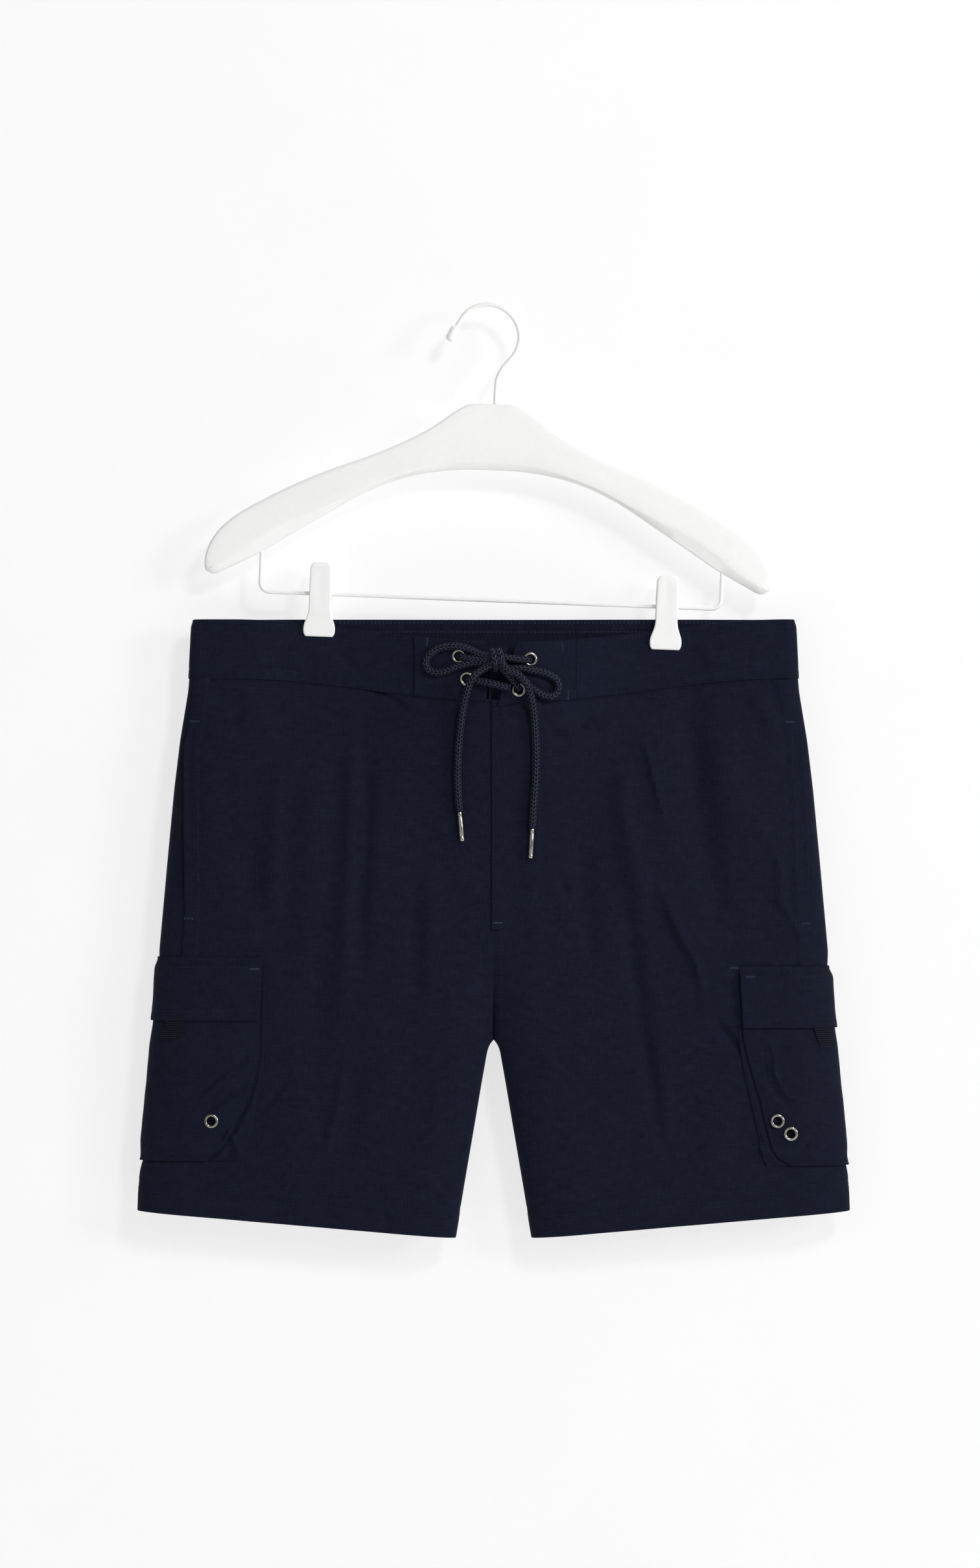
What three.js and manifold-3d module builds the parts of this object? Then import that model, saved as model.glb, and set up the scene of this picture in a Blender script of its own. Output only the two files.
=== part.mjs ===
// Cargo shorts clipped to a hanger, hanging flat with the front towards -Y.
// Millimetres, +Z up. The origin is the underside of the hook's top, where a rail or peg carries it.
// "right" and "left" are the wearer's, so the right leg is on the -X side.
import * as THREE from 'three';
import { mergeVertices } from 'three/addons/utils/BufferGeometryUtils.js';
import Module from 'manifold-3d';

const wasm = await Module();
wasm.setup();

// Driving dimensions of the garment
const centreX = 2.4;          // the centre seams, beside the hook's line
const seamGap = 0.3;          // between pieces that are sewn to each other
const clothThick = 1.2;
const bandThick = 1.8;        // the waistband is four layers of cloth
const trimThick = 1.0;        // pocket, flap and fly layers
const waistTop = -233;
const bandHeight = 44.4;
const crotchZ = -546.1;
const hemOuterZ = -673.2;     // the hem at the side seam
const hemInnerZ = -693.6;     // the hem at the inseam
const sideRoundWaist = 8;     // how far the front takes to round into the side
const sideRoundHip = 36;
const inseamRound = 36;

// The front of the waistband sags between the clips
const sagDepth = 17;
const sagCentre = 14.5;
const sagReach = 208;

// Where the clips hold the waistband, and the flat under each jaw
const clipHold = { right: -128, left: 129.7, flat: 14 };
const bulge = { front: 15, back: 5, frontEnd: 4, backEnd: 3 };

// Half width of the garment from its centre seam to the side seam
const outerTable = [
  { z: -233, outer: 223.1 }, { z: -236, outer: 224.6 }, { z: -240, outer: 225.2 },
  { z: -275.5, outer: 227 }, { z: -287, outer: 228 }, { z: -323.5, outer: 234 },
  { z: -359.9, outer: 238.4 }, { z: -408.4, outer: 243 }, { z: -456.9, outer: 247.4 },
  { z: -481, outer: 249.6 }, { z: -492, outer: 249 }, { z: -530, outer: 251.2 },
  { z: -578, outer: 255.2 }, { z: -627, outer: 260.3 }, { z: -640, outer: 261.6 },
  { z: -648, outer: 264.3 }, { z: -673.2, outer: 265.5 }, { z: -694, outer: 266.5 },
];

// Distance of each inseam from the centre line, below the crotch
const innerTable = [
  { z: -546.1, inner: 0 }, { z: -550, inner: 2.6 }, { z: -553.9, inner: 4.2 },
  { z: -578.1, inner: 8.5 }, { z: -602.4, inner: 12.6 }, { z: -650.9, inner: 20.9 },
  { z: -694, inner: 28.1 },
];

// Depth of the hanging cloth in front of and behind the side seams
const depthTable = [
  { z: -262, front: 8, back: 7 }, { z: -300, front: 10, back: 10 },
  { z: -340, front: 12.5, back: 14 }, { z: -400, front: 14, back: 18 },
  { z: -480, front: 13, back: 18 }, { z: -546, front: 12, back: 14 },
  { z: -620, front: 12, back: 12 }, { z: -694, front: 13, back: 12.5 },
];

// Largest folds: place at the top, where they start and end, how far they stand out, and their lean
const foldTable = [
  { face: 'front', x: -134, top: -318, foot: -525, rise: 1.7, width: 13, lean: -0.06 },
  { face: 'front', x: -104, top: -300, foot: -500, rise: -1.3, width: 11, lean: 0.02 },
  { face: 'front', x: -88, top: -330, foot: -540, rise: 1.4, width: 11, lean: 0.05 },
  { face: 'front', x: 112, top: -300, foot: -410, rise: 1.8, width: 12, lean: -0.16 },
  { face: 'front', x: 84, top: -300, foot: -378, rise: 1.2, width: 11, lean: -0.06 },
  { face: 'front', x: 113, top: -418, foot: -505, rise: 1.5, width: 13, lean: -0.7 },
  { face: 'front', x: 170, top: -560, foot: -690, rise: 1.3, width: 14, lean: 0.02 },
  { face: 'front', x: -150, top: -560, foot: -690, rise: 1.2, width: 14, lean: -0.05 },
  { face: 'back', x: -122, top: -300, foot: -470, rise: 1.7, width: 13, lean: 0.05 },
  { face: 'back', x: 96, top: -290, foot: -440, rise: 1.9, width: 13, lean: -0.07 },
  { face: 'back', x: -60, top: -430, foot: -560, rise: 1.3, width: 13, lean: 0.35 },
  { face: 'back', x: 62, top: -440, foot: -575, rise: 1.5, width: 13, lean: -0.3 },
  { face: 'back', x: 140, top: -520, foot: -680, rise: 1.3, width: 15, lean: 0.02 },
];

// Cargo pockets: width of the face and of the gusset in front of the side seam, by height
const pockets = {
  right: {
    side: -1, flapTop: -484, flapFoot: -531.4, flapFront: 77.4, bagTop: -492, back: 92,
    rows: [
      { z: -492, face: 76.4, gusset: 79.5 }, { z: -516.5, face: 76.8, gusset: 80.5 },
      { z: -531, face: 77, gusset: 81.5 }, { z: -556, face: 79.2, gusset: 83.4 },
      { z: -572, face: 77.4, gusset: 82.5 }, { z: -591, face: 74.2, gusset: 81.2 },
      { z: -612, face: 65.5, gusset: 80 }, { z: -627, face: 57.2, gusset: 75.7 },
      { z: -635.5, face: 48, gusset: 72.5 },
    ],
    tab: { from: 8.7, to: 24, length: 14.3 },
    eyelets: [{ reach: 48.7, z: -606.3 }],
  },
  left: {
    side: 1, flapTop: -490.8, flapFoot: -536.8, flapFront: 66.6, bagTop: -499, back: 92,
    rows: [
      { z: -499, face: 65.4, gusset: 68.5 }, { z: -522, face: 66, gusset: 69.5 },
      { z: -544, face: 67, gusset: 70.5 }, { z: -565, face: 63.8, gusset: 69.6 },
      { z: -589, face: 59, gusset: 66.5 }, { z: -608, face: 56.7, gusset: 64 },
      { z: -627, face: 53.4, gusset: 62.5 }, { z: -635, face: 48.5, gusset: 61.5 },
      { z: -639, face: 40, gusset: 60 },
    ],
    tab: { from: 4.6, to: 18.7, length: 14.3 },
    eyelets: [{ reach: 47.5, z: -606.3 }, { reach: 38.6, z: -615.9 }],
  },
};
const gussetBand = 15;        // width of the folded bellows round the pocket
const layer = {
  gusset: { low: seamGap, high: seamGap + trimThick },
  bag: { low: 2 * seamGap + trimThick, high: 2 * (seamGap + trimThick) },
  flap: { low: 3 * seamGap + 2 * trimThick, high: 3 * (seamGap + trimThick) },
};

// Slash pocket mouths down each side seam
const mouth = { top: -311, foot: -457, from: 8.5, to: 17.5 };

// Fly overlap on the left front, with its curved foot
const fly = {
  edge: 0.7, top: -298.9,
  rows: [
    { z: -298.9, to: 38 }, { z: -330, to: 38.3 }, { z: -370, to: 38.3 }, { z: -413, to: 38.3 },
    { z: -435, to: 35.9 }, { z: -445, to: 32.6 }, { z: -452.5, to: 28 }, { z: -459, to: 20.5 },
    { z: -463.7, to: 9.5 },
  ],
};

// Waistband ends that carry the laced eyelets
const endTab = {
  rightFrom: -56, rightTo: -1, leftTo: 62.8,
  leftTopEdge: 18.9, leftFootEdge: 3.4,
  lapFrom: 0.2, lapTo: 21, lapTop: -253.6, lapFoot: -276,
  rise: bandThick + seamGap, fallStart: 20, fallEnd: 58, droop: 3.4, droopReach: 23,
};

// Eyelets: a flange on the cloth and a barrel through it
const eyelet = { flange: 5.35, bore: 3.2, barrel: 3.6, height: 1.2, cut: 3.9 };
const waistEyelets = [
  { name: 'eyelet_right_upper', x: -23.3, z: -260.7 },
  { name: 'eyelet_right_lower', x: -17.3, z: -277.6 },
  { name: 'eyelet_left_upper', x: 29.3, z: -263.1 },
  { name: 'eyelet_left_lower', x: 20.9, z: -285.7 },
];

// Braided lace: each route has x, z and the lift of its underside from the waistband or the front
const laceRadius = 2.75;
const laceRoutes = {
  lace_loop_right: [
    [-7.6, -259.4, 0.6], [-14.6, -256.1, 0.4], [-20.4, -254.1, 0.3], [-26.7, -253.4, 0.3],
    [-32.5, -253.7, 0.3], [-38.3, -255.1, 0.3], [-43.2, -258, 0.3], [-47, -261.9, 0.3],
    [-48, -265.8, 0.3], [-46.6, -269.7, 0.3], [-43.2, -272.1, 0.3], [-37.3, -272.6, 0.3],
    [-31.5, -271.1, 0.3], [-26.2, -269.2, 0.3], [-20.9, -267.4, 0.4], [-15, -266.2, 0.5],
    [-9.2, -266, 0.6],
  ],
  lace_loop_left: [
    [15, -270.2, 2.6], [19.4, -270, 2.6], [25, -270.2, 2.5], [33.5, -271.6, 2.3],
    [39.3, -272.8, 2], [43.8, -274.4, 1.8], [48.2, -277.2, 1.5], [50.4, -281.3, 1.2],
    [50.2, -286, 1.1], [47.9, -289.3, 1.1], [44.3, -290.7, 1.3], [40.3, -290, 1.6],
    [36.4, -288.4, 2], [30.6, -284.5, 2.4], [26, -280.2, 2.6], [21.8, -277.4, 2.6],
  ],
  lace_crossing: [
    [-11.2, -278.6, 0.4], [-6.3, -279.5, 0.8], [0, -281, 2.6], [7.8, -282.8, 2.6],
    [14.8, -284.4, 2.6],
  ],
  lace_tail_right: [
    [-6.6, -271.4, 5], [-10.6, -274.2, 6.6], [-14.6, -279.6, 6.8], [-17.6, -288.4, 5],
    [-20.4, -301.2, 2], [-22.8, -320.6, 0.6], [-23.8, -332.7, 0.5], [-24.3, -351.1, 0.5],
    [-23.8, -364.5, 0.5], [-22.8, -375.9, 0.5],
  ],
  lace_tail_left: [
    [13.4, -271.8, 9.1], [17, -273, 9.1], [21.6, -275.4, 9.1], [26.7, -281.8, 8.9],
    [30.6, -292.5, 6], [32.5, -304.6, 3], [33.5, -320.6, 1.8], [33.8, -332.7, 1.7],
    [33.5, -351.1, 1.7], [32, -371, 1.7], [31, -388.5, 1.7],
  ],
};
const knot = { x: 2.9, z: -264.3, wide: 9, high: 7.2, deep: 4.5, lift: 2.6 };
const knotStrand = [[2.9, -264.3, 3.4], [12, -262.9, 3.6], [18, -262.9, 2.8], [23.3, -263.1, 2.6]];
const aglet = { radius: 1.85, length: 22 };

// Hanger, in its own frame, which leans a little clockwise
const hanger = {
  lean: THREE.MathUtils.degToRad(2.18), axis: 5.3, thick: 10, bevel: 2.2,
  wire: 1.7, bar: 1.5, barZ: -218.5, barRight: -163.4, barLeft: 180.1, barTop: { right: -182, left: -185.5 }, barBend: 7,
  clipRight: -118.3, clipLeft: 139.8,
};
const hangerTop = [
  [0, -72.4], [18, -73], [28, -78.6], [46, -91.8], [66.6, -103.3], [87.5, -113], [108.6, -121.3],
  [129.6, -129.9], [150.6, -140], [171.5, -151.4], [189.6, -162.8], [202, -174.7], [208.8, -187],
  [211, -199],
];
const hangerTip = [[210.2, -203.6], [207.6, -206.2], [204.3, -206.6]];
const hangerFoot = [
  [191, -200.6], [170.8, -189.9], [149.2, -176.2], [121.4, -158.8], [100.5, -145.8],
  [83, -136.8], [65.5, -130], [44.4, -124.8], [22, -122], [0, -121.5],
];
const hookRoute = [
  [-24.4, -15.2], [-19.6, -7.3], [-15.6, -2.9], [-8.9, 0.4], [-0.2, 1.7], [7.4, 0], [14.6, -4.6],
  [20.1, -11.9], [22.6, -20.7], [21.6, -29.4], [18, -36.4], [13.1, -42.4], [9.4, -48],
  [7.2, -54], [6.6, -61], [6.4, -72.1],
];
const hookCap = { from: [-24.9, -16], to: [-30.2, -26.6], radius: 3.5 };

// Clip levers: height from the bar, half width, inner face and thickness
const clipRows = [
  { up: 23, half: 4.5, face: 7.7, thick: 2 }, { up: 21.6, half: 6.6, face: 7.5, thick: 2.2 },
  { up: 18.5, half: 7.9, face: 7.2, thick: 2.4 }, { up: 6, half: 8.2, face: 5.8, thick: 2.4 },
  { up: -3, half: 8.2, face: 5.2, thick: 2.4 }, { up: -11.4, half: 8.2, face: 4.4, thick: 2.4 },
  { up: -18.7, half: 9.9, face: 2.9, thick: 2.6 }, { up: -22.5, half: 11.3, face: 2.3, thick: 2.8 },
  { up: -27, half: 11.9, face: 2.3, thick: 2.8 }, { up: -31, half: 10.9, face: 2.3, thick: 2.6 },
  { up: -32, half: 10.1, face: 2.3, thick: 1.8 },
];
const clipHub = { radius: 4.6, bore: 1.85, length: 13 };

// Finishes
const finishes = {
  cloth: { color: 0x1b1e2c, roughness: 0.82, metalness: 0 },
  webbing: { color: 0x1a212d, roughness: 0.85, metalness: 0 },
  braid: { color: 0x23273a, roughness: 0.9, metalness: 0 },
  nickel: { color: 0xb9b4a6, roughness: 0.32, metalness: 1 },
  plastic: { color: 0xf2f2f1, roughness: 0.5, metalness: 0 },
  wire: { color: 0xf0f0ef, roughness: 0.45, metalness: 0 },
};

const shorts = new THREE.Group();
const clipHanger = new THREE.Group();
clipHanger.rotation.y = hanger.lean;

function add(group, name, geometry, finish) {
  const mesh = new THREE.Mesh(geometry, new THREE.MeshStandardMaterial(finishes[finish]));
  mesh.name = name;
  group.add(mesh);
  return mesh;
}

// Number helpers
const clamp01 = (t) => Math.min(1, Math.max(0, t));
const smooth = (t) => clamp01(t) ** 2 * (3 - 2 * clamp01(t));
const mix = (a, b, t) => a + (b - a) * t;
const roundOff = (t) => Math.sqrt(1 - (1 - clamp01(t)) ** 2);

function look(table, key, z) {
  const last = table.length - 1;
  if (z >= table[0].z) return table[0][key];
  if (z <= table[last].z) return table[last][key];
  const i = table.findIndex((row, n) => n < last && z <= row.z && z > table[n + 1].z);
  return mix(table[i][key], table[i + 1][key], (table[i].z - z) / (table[i].z - table[i + 1].z));
}

// The garment's form
const sag = (x) => {
  const t = (x - sagCentre) / sagReach;
  return Math.abs(t) < 1 ? sagDepth * Math.cos((t * Math.PI) / 2) ** 2 : 0;
};

function waistDepth(x, face) {
  const { right, left, flat } = clipHold;
  const pinch = bandThick;
  if (x > right + flat && x < left - flat) {
    const t = x < sagCentre
      ? (sagCentre - x) / (sagCentre - right - flat)
      : (x - sagCentre) / (left - flat - sagCentre);
    return pinch + bulge[face] * Math.cos((t * Math.PI) / 2) ** 2;
  }
  const past = x < 0 ? right - flat - x : x - left - flat;
  return pinch + bulge[`${face}End`] * smooth(past / 40);
}

function foldAt(x, z, face) {
  let rise = 0;
  for (const fold of foldTable) {
    if (fold.face !== face || z > fold.top || z < fold.foot) continue;
    const run = (fold.top - z) / (fold.top - fold.foot);
    const line = fold.x - fold.lean * (fold.top - z);
    const across = (x - line) / fold.width;
    rise += fold.rise * Math.exp(-across * across) * Math.sin(run * Math.PI) ** 0.8;
  }
  return rise;
}

const sideRound = (z) => mix(sideRoundWaist, sideRoundHip, smooth((-262 - z) / 85));

// How far the centre seam has sunk between the legs, and how steeply
const forkSink = (z) => (z < crotchZ ? 1 : 0.86 * smooth((-468 - z) / 78));
const forkTurn = (z) => (z < crotchZ ? 1 : 0.7 * smooth((-490 - z) / 56));

function clothDepth(x, z, face) {
  const outward = Math.abs(x - centreX);
  const reach = look(outerTable, 'outer', z) - outward;
  const inward = outward - look(innerTable, 'inner', z);
  const body = mix(waistDepth(x, face), look(depthTable, face, z), smooth((-262 - z) / 138));
  const side = roundOff(reach / sideRound(z));
  const t = clamp01(inward / inseamRound);
  const shape = mix(Math.sin((t * Math.PI) / 2), roundOff(t), forkTurn(z));
  const centre = 1 - forkSink(z) + forkSink(z) * shape;
  return body * side * centre + foldAt(x, z, face) * side * centre;
}

// A place round the body: reach is the distance in from the side seam, negative on the back
function turnOf(reach, z) {
  const round = sideRound(z);
  const far = Math.abs(reach) / round;
  const turn = far < 1 ? Math.acos(1 - far) / (Math.PI / 2) : 1 + (far - 1) / (Math.PI / 2);
  return Math.sign(reach) * turn;
}

function pointAtTurn(side, turn, z) {
  const round = sideRound(z);
  const far = Math.abs(turn);
  const reach = far < 1 ? round * (1 - Math.cos((far * Math.PI) / 2)) : round * (1 + (far - 1) * Math.PI / 2);
  const x = centreX + side * (look(outerTable, 'outer', z) - reach);
  const face = turn < 0 ? 'back' : 'front';
  const away = clothDepth(x, z, face) + (seamGap / 2) * clamp01(far * 20);
  return new THREE.Vector3(x, turn < 0 ? away : -away, z);
}

function skin(side, reach, z, out, facing = null) {
  const turn = turnOf(reach, z);
  const point = pointAtTurn(side, turn, z);
  const step = 0.02;
  const before = pointAtTurn(side, turn - step, z);
  const after = pointAtTurn(side, turn + step, z);
  const along = after.sub(before);
  const normal = facing ?? new THREE.Vector3(-side * along.y, side * along.x, 0).normalize();
  return point.addScaledVector(normal, out);
}

// A wall between two grids of points, closed round its rim
function wall(outer, inner) {
  const rows = outer.length;
  const cols = outer[0].length;
  const points = [...outer.flat(), ...inner.flat()];
  const half = rows * cols;
  const index = [];
  const quad = (a, b, c, d) => index.push(a, b, c, a, c, d);
  const at = (i, j) => i * cols + j;
  for (let i = 0; i < rows - 1; i++) {
    for (let j = 0; j < cols - 1; j++) {
      quad(at(i, j), at(i + 1, j), at(i + 1, j + 1), at(i, j + 1));
      quad(half + at(i, j), half + at(i, j + 1), half + at(i + 1, j + 1), half + at(i + 1, j));
    }
  }
  for (let j = 0; j < cols - 1; j++) {
    quad(at(0, j), at(0, j + 1), half + at(0, j + 1), half + at(0, j));
    quad(at(rows - 1, j), half + at(rows - 1, j), half + at(rows - 1, j + 1), at(rows - 1, j + 1));
  }
  for (let i = 0; i < rows - 1; i++) {
    quad(at(i, 0), half + at(i, 0), half + at(i + 1, 0), at(i + 1, 0));
    quad(at(i, cols - 1), at(i + 1, cols - 1), half + at(i + 1, cols - 1), half + at(i, cols - 1));
  }
  let volume = 0;
  for (let k = 0; k < index.length; k += 3) {
    const [a, b, c] = [points[index[k]], points[index[k + 1]], points[index[k + 2]]];
    volume += a.dot(b.clone().cross(c));
  }
  if (volume < 0) index.reverse();
  const geometry = new THREE.BufferGeometry().setFromPoints(points);
  geometry.setIndex(index);
  geometry.computeVertexNormals();
  return geometry;
}

const spread = (from, to, steps) => Array.from({ length: steps + 1 }, (_, i) => mix(from, to, i / steps));

// Distances in from the side seam: close together round the side, then even
function reaches(round, far, flatSteps, roundSteps = 4) {
  const list = [];
  for (let i = 0; i <= roundSteps; i++) list.push(round * (1 - Math.cos((i / roundSteps) * Math.PI / 2)));
  for (let i = 1; i <= flatSteps; i++) list.push(mix(round, far, i / flatSteps));
  return list;
}

// Front and back leg panels, one for each side of each face
function legPanel(side, face) {
  const flatSteps = face === 'front' ? 10 : 7;
  const above = [0, 0.06, 0.16, 0.3, 0.45, 0.6, 0.755, 0.8, 0.9, 1];
  const below = [0.04, 0.14, 0.35, 0.55, 0.73, 0.8, 1];
  const sign = face === 'front' ? 1 : -1;
  const outer = [];
  const inner = [];
  const columns = 4 + flatSteps + 4;
  const rowsAll = [...above.map((f) => ({ f, leg: false })), ...below.map((f) => ({ f, leg: true }))];
  for (const { f, leg } of rowsAll) {
    const outerRow = [];
    const innerRow = [];
    for (let j = 0; j <= columns; j++) {
      const place = (z) => {
        const width = look(outerTable, 'outer', z) - look(innerTable, 'inner', z) - (leg ? 0 : seamGap / 2);
        const round = sideRound(z);
        if (j <= 4) return round * (1 - Math.cos((j / 4) * Math.PI / 2));
        if (j <= 4 + flatSteps) return mix(round, width - inseamRound, (j - 4) / flatSteps);
        return width - inseamRound * (1 - Math.cos(((columns - j) / 4) * Math.PI / 2));
      };
      const share = j / columns;
      const guess = centreX + side * (look(outerTable, 'outer', -290) - place(-290));
      const top = waistTop - bandHeight - seamGap - (face === 'front' ? sag(guess) : 0);
      const foot = mix(hemOuterZ, hemInnerZ, smooth(share / 0.04) * share);
      const z = leg ? mix(crotchZ, foot, f) : mix(top, crotchZ, f);
      const reach = sign * Math.max(place(z), 1e-4);
      let facing = null;
      if (j === 0) facing = new THREE.Vector3(side, 0, 0);
      if (j === columns) {
        facing = leg ? new THREE.Vector3(-side, 0, 0) : new THREE.Vector3(0, -sign, 0);
      }
      outerRow.push(skin(side, reach, z, 0, facing));
      innerRow.push(skin(side, reach, z, -clothThick, facing));
    }
    outer.push(outerRow);
    inner.push(innerRow);
  }
  return wall(outer, inner);
}

// A stretch of waistband: columns gives the distances in from the side seam at each height
function bandStretch(side, face, columns, rise = () => 0, foot = () => 0) {
  const sign = face === 'front' ? 1 : -1;
  const rows = [0, 0.08, 0.5, 1];
  const grid = (depth) => rows.map((f) => columns(waistTop - bandHeight * f, f).map((reach) => {
    const x = centreX + side * (look(outerTable, 'outer', waistTop - bandHeight * f) - reach);
    const low = face === 'front' ? sag(x) : 0;
    const z = waistTop - low - (bandHeight + foot(x)) * f;
    const facing = reach === 0 ? new THREE.Vector3(side, 0, 0) : null;
    return skin(side, sign * Math.max(reach, 1e-4), z, rise(x) + depth, facing);
  }));
  return wall(grid(0), grid(-bandThick));
}

// Distance in from the side seam of a place given by its x
function fromX(x, side, z) {
  return look(outerTable, 'outer', z) - side * (x - centreX);
}

// Booleans: a closed geometry as a solid and back
function toSolid(geometry) {
  const bare = geometry.clone();
  bare.deleteAttribute('normal');
  bare.deleteAttribute('uv');
  const merged = mergeVertices(bare, 1e-4);
  return new wasm.Manifold(new wasm.Mesh({
    numProp: 3,
    vertProperties: new Float32Array(merged.attributes.position.array),
    triVerts: new Uint32Array(merged.index.array),
  }));
}

function toGeometry(solid) {
  const mesh = solid.getMesh();
  const geometry = new THREE.BufferGeometry();
  geometry.setAttribute('position', new THREE.BufferAttribute(new Float32Array(mesh.vertProperties), 3));
  geometry.setIndex([...mesh.triVerts]);
  geometry.computeVertexNormals();
  return geometry;
}

const drillLength = 14;

function punched(geometry, spots, radius) {
  let solid = toSolid(geometry);
  for (const { point, normal } of spots) {
    const drill = new THREE.CylinderGeometry(radius, radius, drillLength, 12);
    drill.applyQuaternion(new THREE.Quaternion().setFromUnitVectors(new THREE.Vector3(0, 1, 0), normal));
    drill.translate(point.x, point.y, point.z);
    solid = solid.subtract(toSolid(drill));
  }
  return toGeometry(solid);
}

// Round pieces on the cloth
function eyeletRing(point, normal, through) {
  const { flange, bore, barrel, height } = eyelet;
  const profile = [
    [bore, -through], [barrel, -through], [barrel, seamGap], [flange, seamGap],
    [flange, 0.7], [mix(flange, bore, 0.45), height], [bore, 0.7], [bore, -through],
  ].map(([x, y]) => new THREE.Vector2(x, y));
  const ring = new THREE.LatheGeometry(profile, 12);
  ring.applyQuaternion(new THREE.Quaternion().setFromUnitVectors(new THREE.Vector3(0, 1, 0), normal));
  ring.translate(point.x, point.y, point.z);
  return ring;
}

function spotOn(side, reach, z, out) {
  const point = skin(side, reach, z, out);
  const normal = skin(side, reach, z, out + 1).sub(point).normalize();
  return { point, normal };
}

function tube(points, radius, sides, steps) {
  const section = new THREE.Shape();
  for (let i = 0; i < sides; i++) {
    const angle = (i / sides) * Math.PI * 2;
    section[i ? 'lineTo' : 'moveTo'](radius * Math.cos(angle), radius * Math.sin(angle));
  }
  const path = new THREE.CatmullRomCurve3(points, false, 'centripetal');
  return new THREE.ExtrudeGeometry(section, { steps, bevelEnabled: false, extrudePath: path });
}

// Leg panels
for (const [name, side] of [['right', -1], ['left', 1]]) {
  for (const face of ['front', 'back']) {
    add(shorts, `${face}_panel_${name}`, legPanel(side, face), 'cloth');
  }
}

// Waistband
const bandGap = seamGap / 2;
const bandEnds = {
  waistband_front_right: { side: -1, face: 'front', steps: 12, end: (z) => fromX(endTab.rightFrom, -1, z) },
  waistband_front_left: { side: 1, face: 'front', steps: 12, end: (z) => fromX(endTab.leftTo, 1, z) },
  waistband_back_right: { side: -1, face: 'back', steps: 14, end: (z) => fromX(centreX, -1, z) },
  waistband_back_left: { side: 1, face: 'back', steps: 14, end: (z) => fromX(centreX, 1, z) },
};
for (const [name, { side, face, steps, end }] of Object.entries(bandEnds)) {
  const columns = (z) => reaches(sideRoundWaist, end(z) - bandGap, steps);
  add(shorts, name, bandStretch(side, face, columns), 'cloth');
}

// Laced ends of the waistband, the left one lapping over the right
const tabRise = (x) => endTab.rise * (1 - smooth((x - endTab.fallStart) / (endTab.fallEnd - endTab.fallStart)));
const tabDroop = (x) => endTab.droop * (1 - smooth((x - endTab.leftFootEdge) / endTab.droopReach));
const rightTabColumns = (z) => (
  spread(fromX(endTab.rightFrom, -1, z) + bandGap, fromX(endTab.rightTo, -1, z), 5));
const leftTabColumns = (z, f) => {
  const edge = mix(endTab.leftTopEdge, endTab.leftFootEdge, f);
  return spread(fromX(edge, 1, z), fromX(endTab.leftTo - bandGap, 1, z), 7);
};
const waistSpots = waistEyelets.map((spot) => {
  const side = spot.x < centreX ? -1 : 1;
  const lift = side > 0 ? tabRise(spot.x) : 0;
  return { ...spot, side, ...spotOn(side, fromX(spot.x, side, spot.z), spot.z, lift) };
});
const rightTab = bandStretch(-1, 'front', rightTabColumns);
const leftTab = bandStretch(1, 'front', leftTabColumns, tabRise, tabDroop);
add(shorts, 'eyelet_tab_right', punched(rightTab, waistSpots.filter((s) => s.side < 0), eyelet.cut), 'cloth');
add(shorts, 'eyelet_tab_left', punched(leftTab, waistSpots.filter((s) => s.side > 0), eyelet.cut), 'cloth');

// The corner of the under layer that shows beside the left end
function underlap() {
  const grid = (depth) => spread(endTab.lapTop, endTab.lapFoot, 2).map((z) => (
    spread(endTab.lapFrom, endTab.lapTo, 3).map((x) => {
      const side = x < centreX ? -1 : 1;
      return skin(side, fromX(x, side, z), z, depth);
    })));
  return wall(grid(0), grid(-bandThick));
}
add(shorts, 'waist_underlap', underlap(), 'cloth');
for (const spot of waistSpots) {
  add(shorts, spot.name, eyeletRing(spot.point, spot.normal, bandThick + 0.4), 'nickel');
}

// Layers laid on the panels: a grid of places, from one height to another above the cloth
function laid(side, grid, low, high) {
  const raise = (key) => grid.map((row) => row.map((place) => (
    skin(side, place.reach, place.z, (place.lift ?? 0) + key))));
  return wall(raise(high), raise(low));
}

function roundSide(front, back, z) {
  const round = sideRound(z);
  const ahead = reaches(round, front, 3);
  const behind = reaches(round, back, 3).slice(1);
  return [...ahead.reverse().map((r) => Math.max(r, 1e-3)), ...behind.map((r) => -r)];
}

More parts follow.
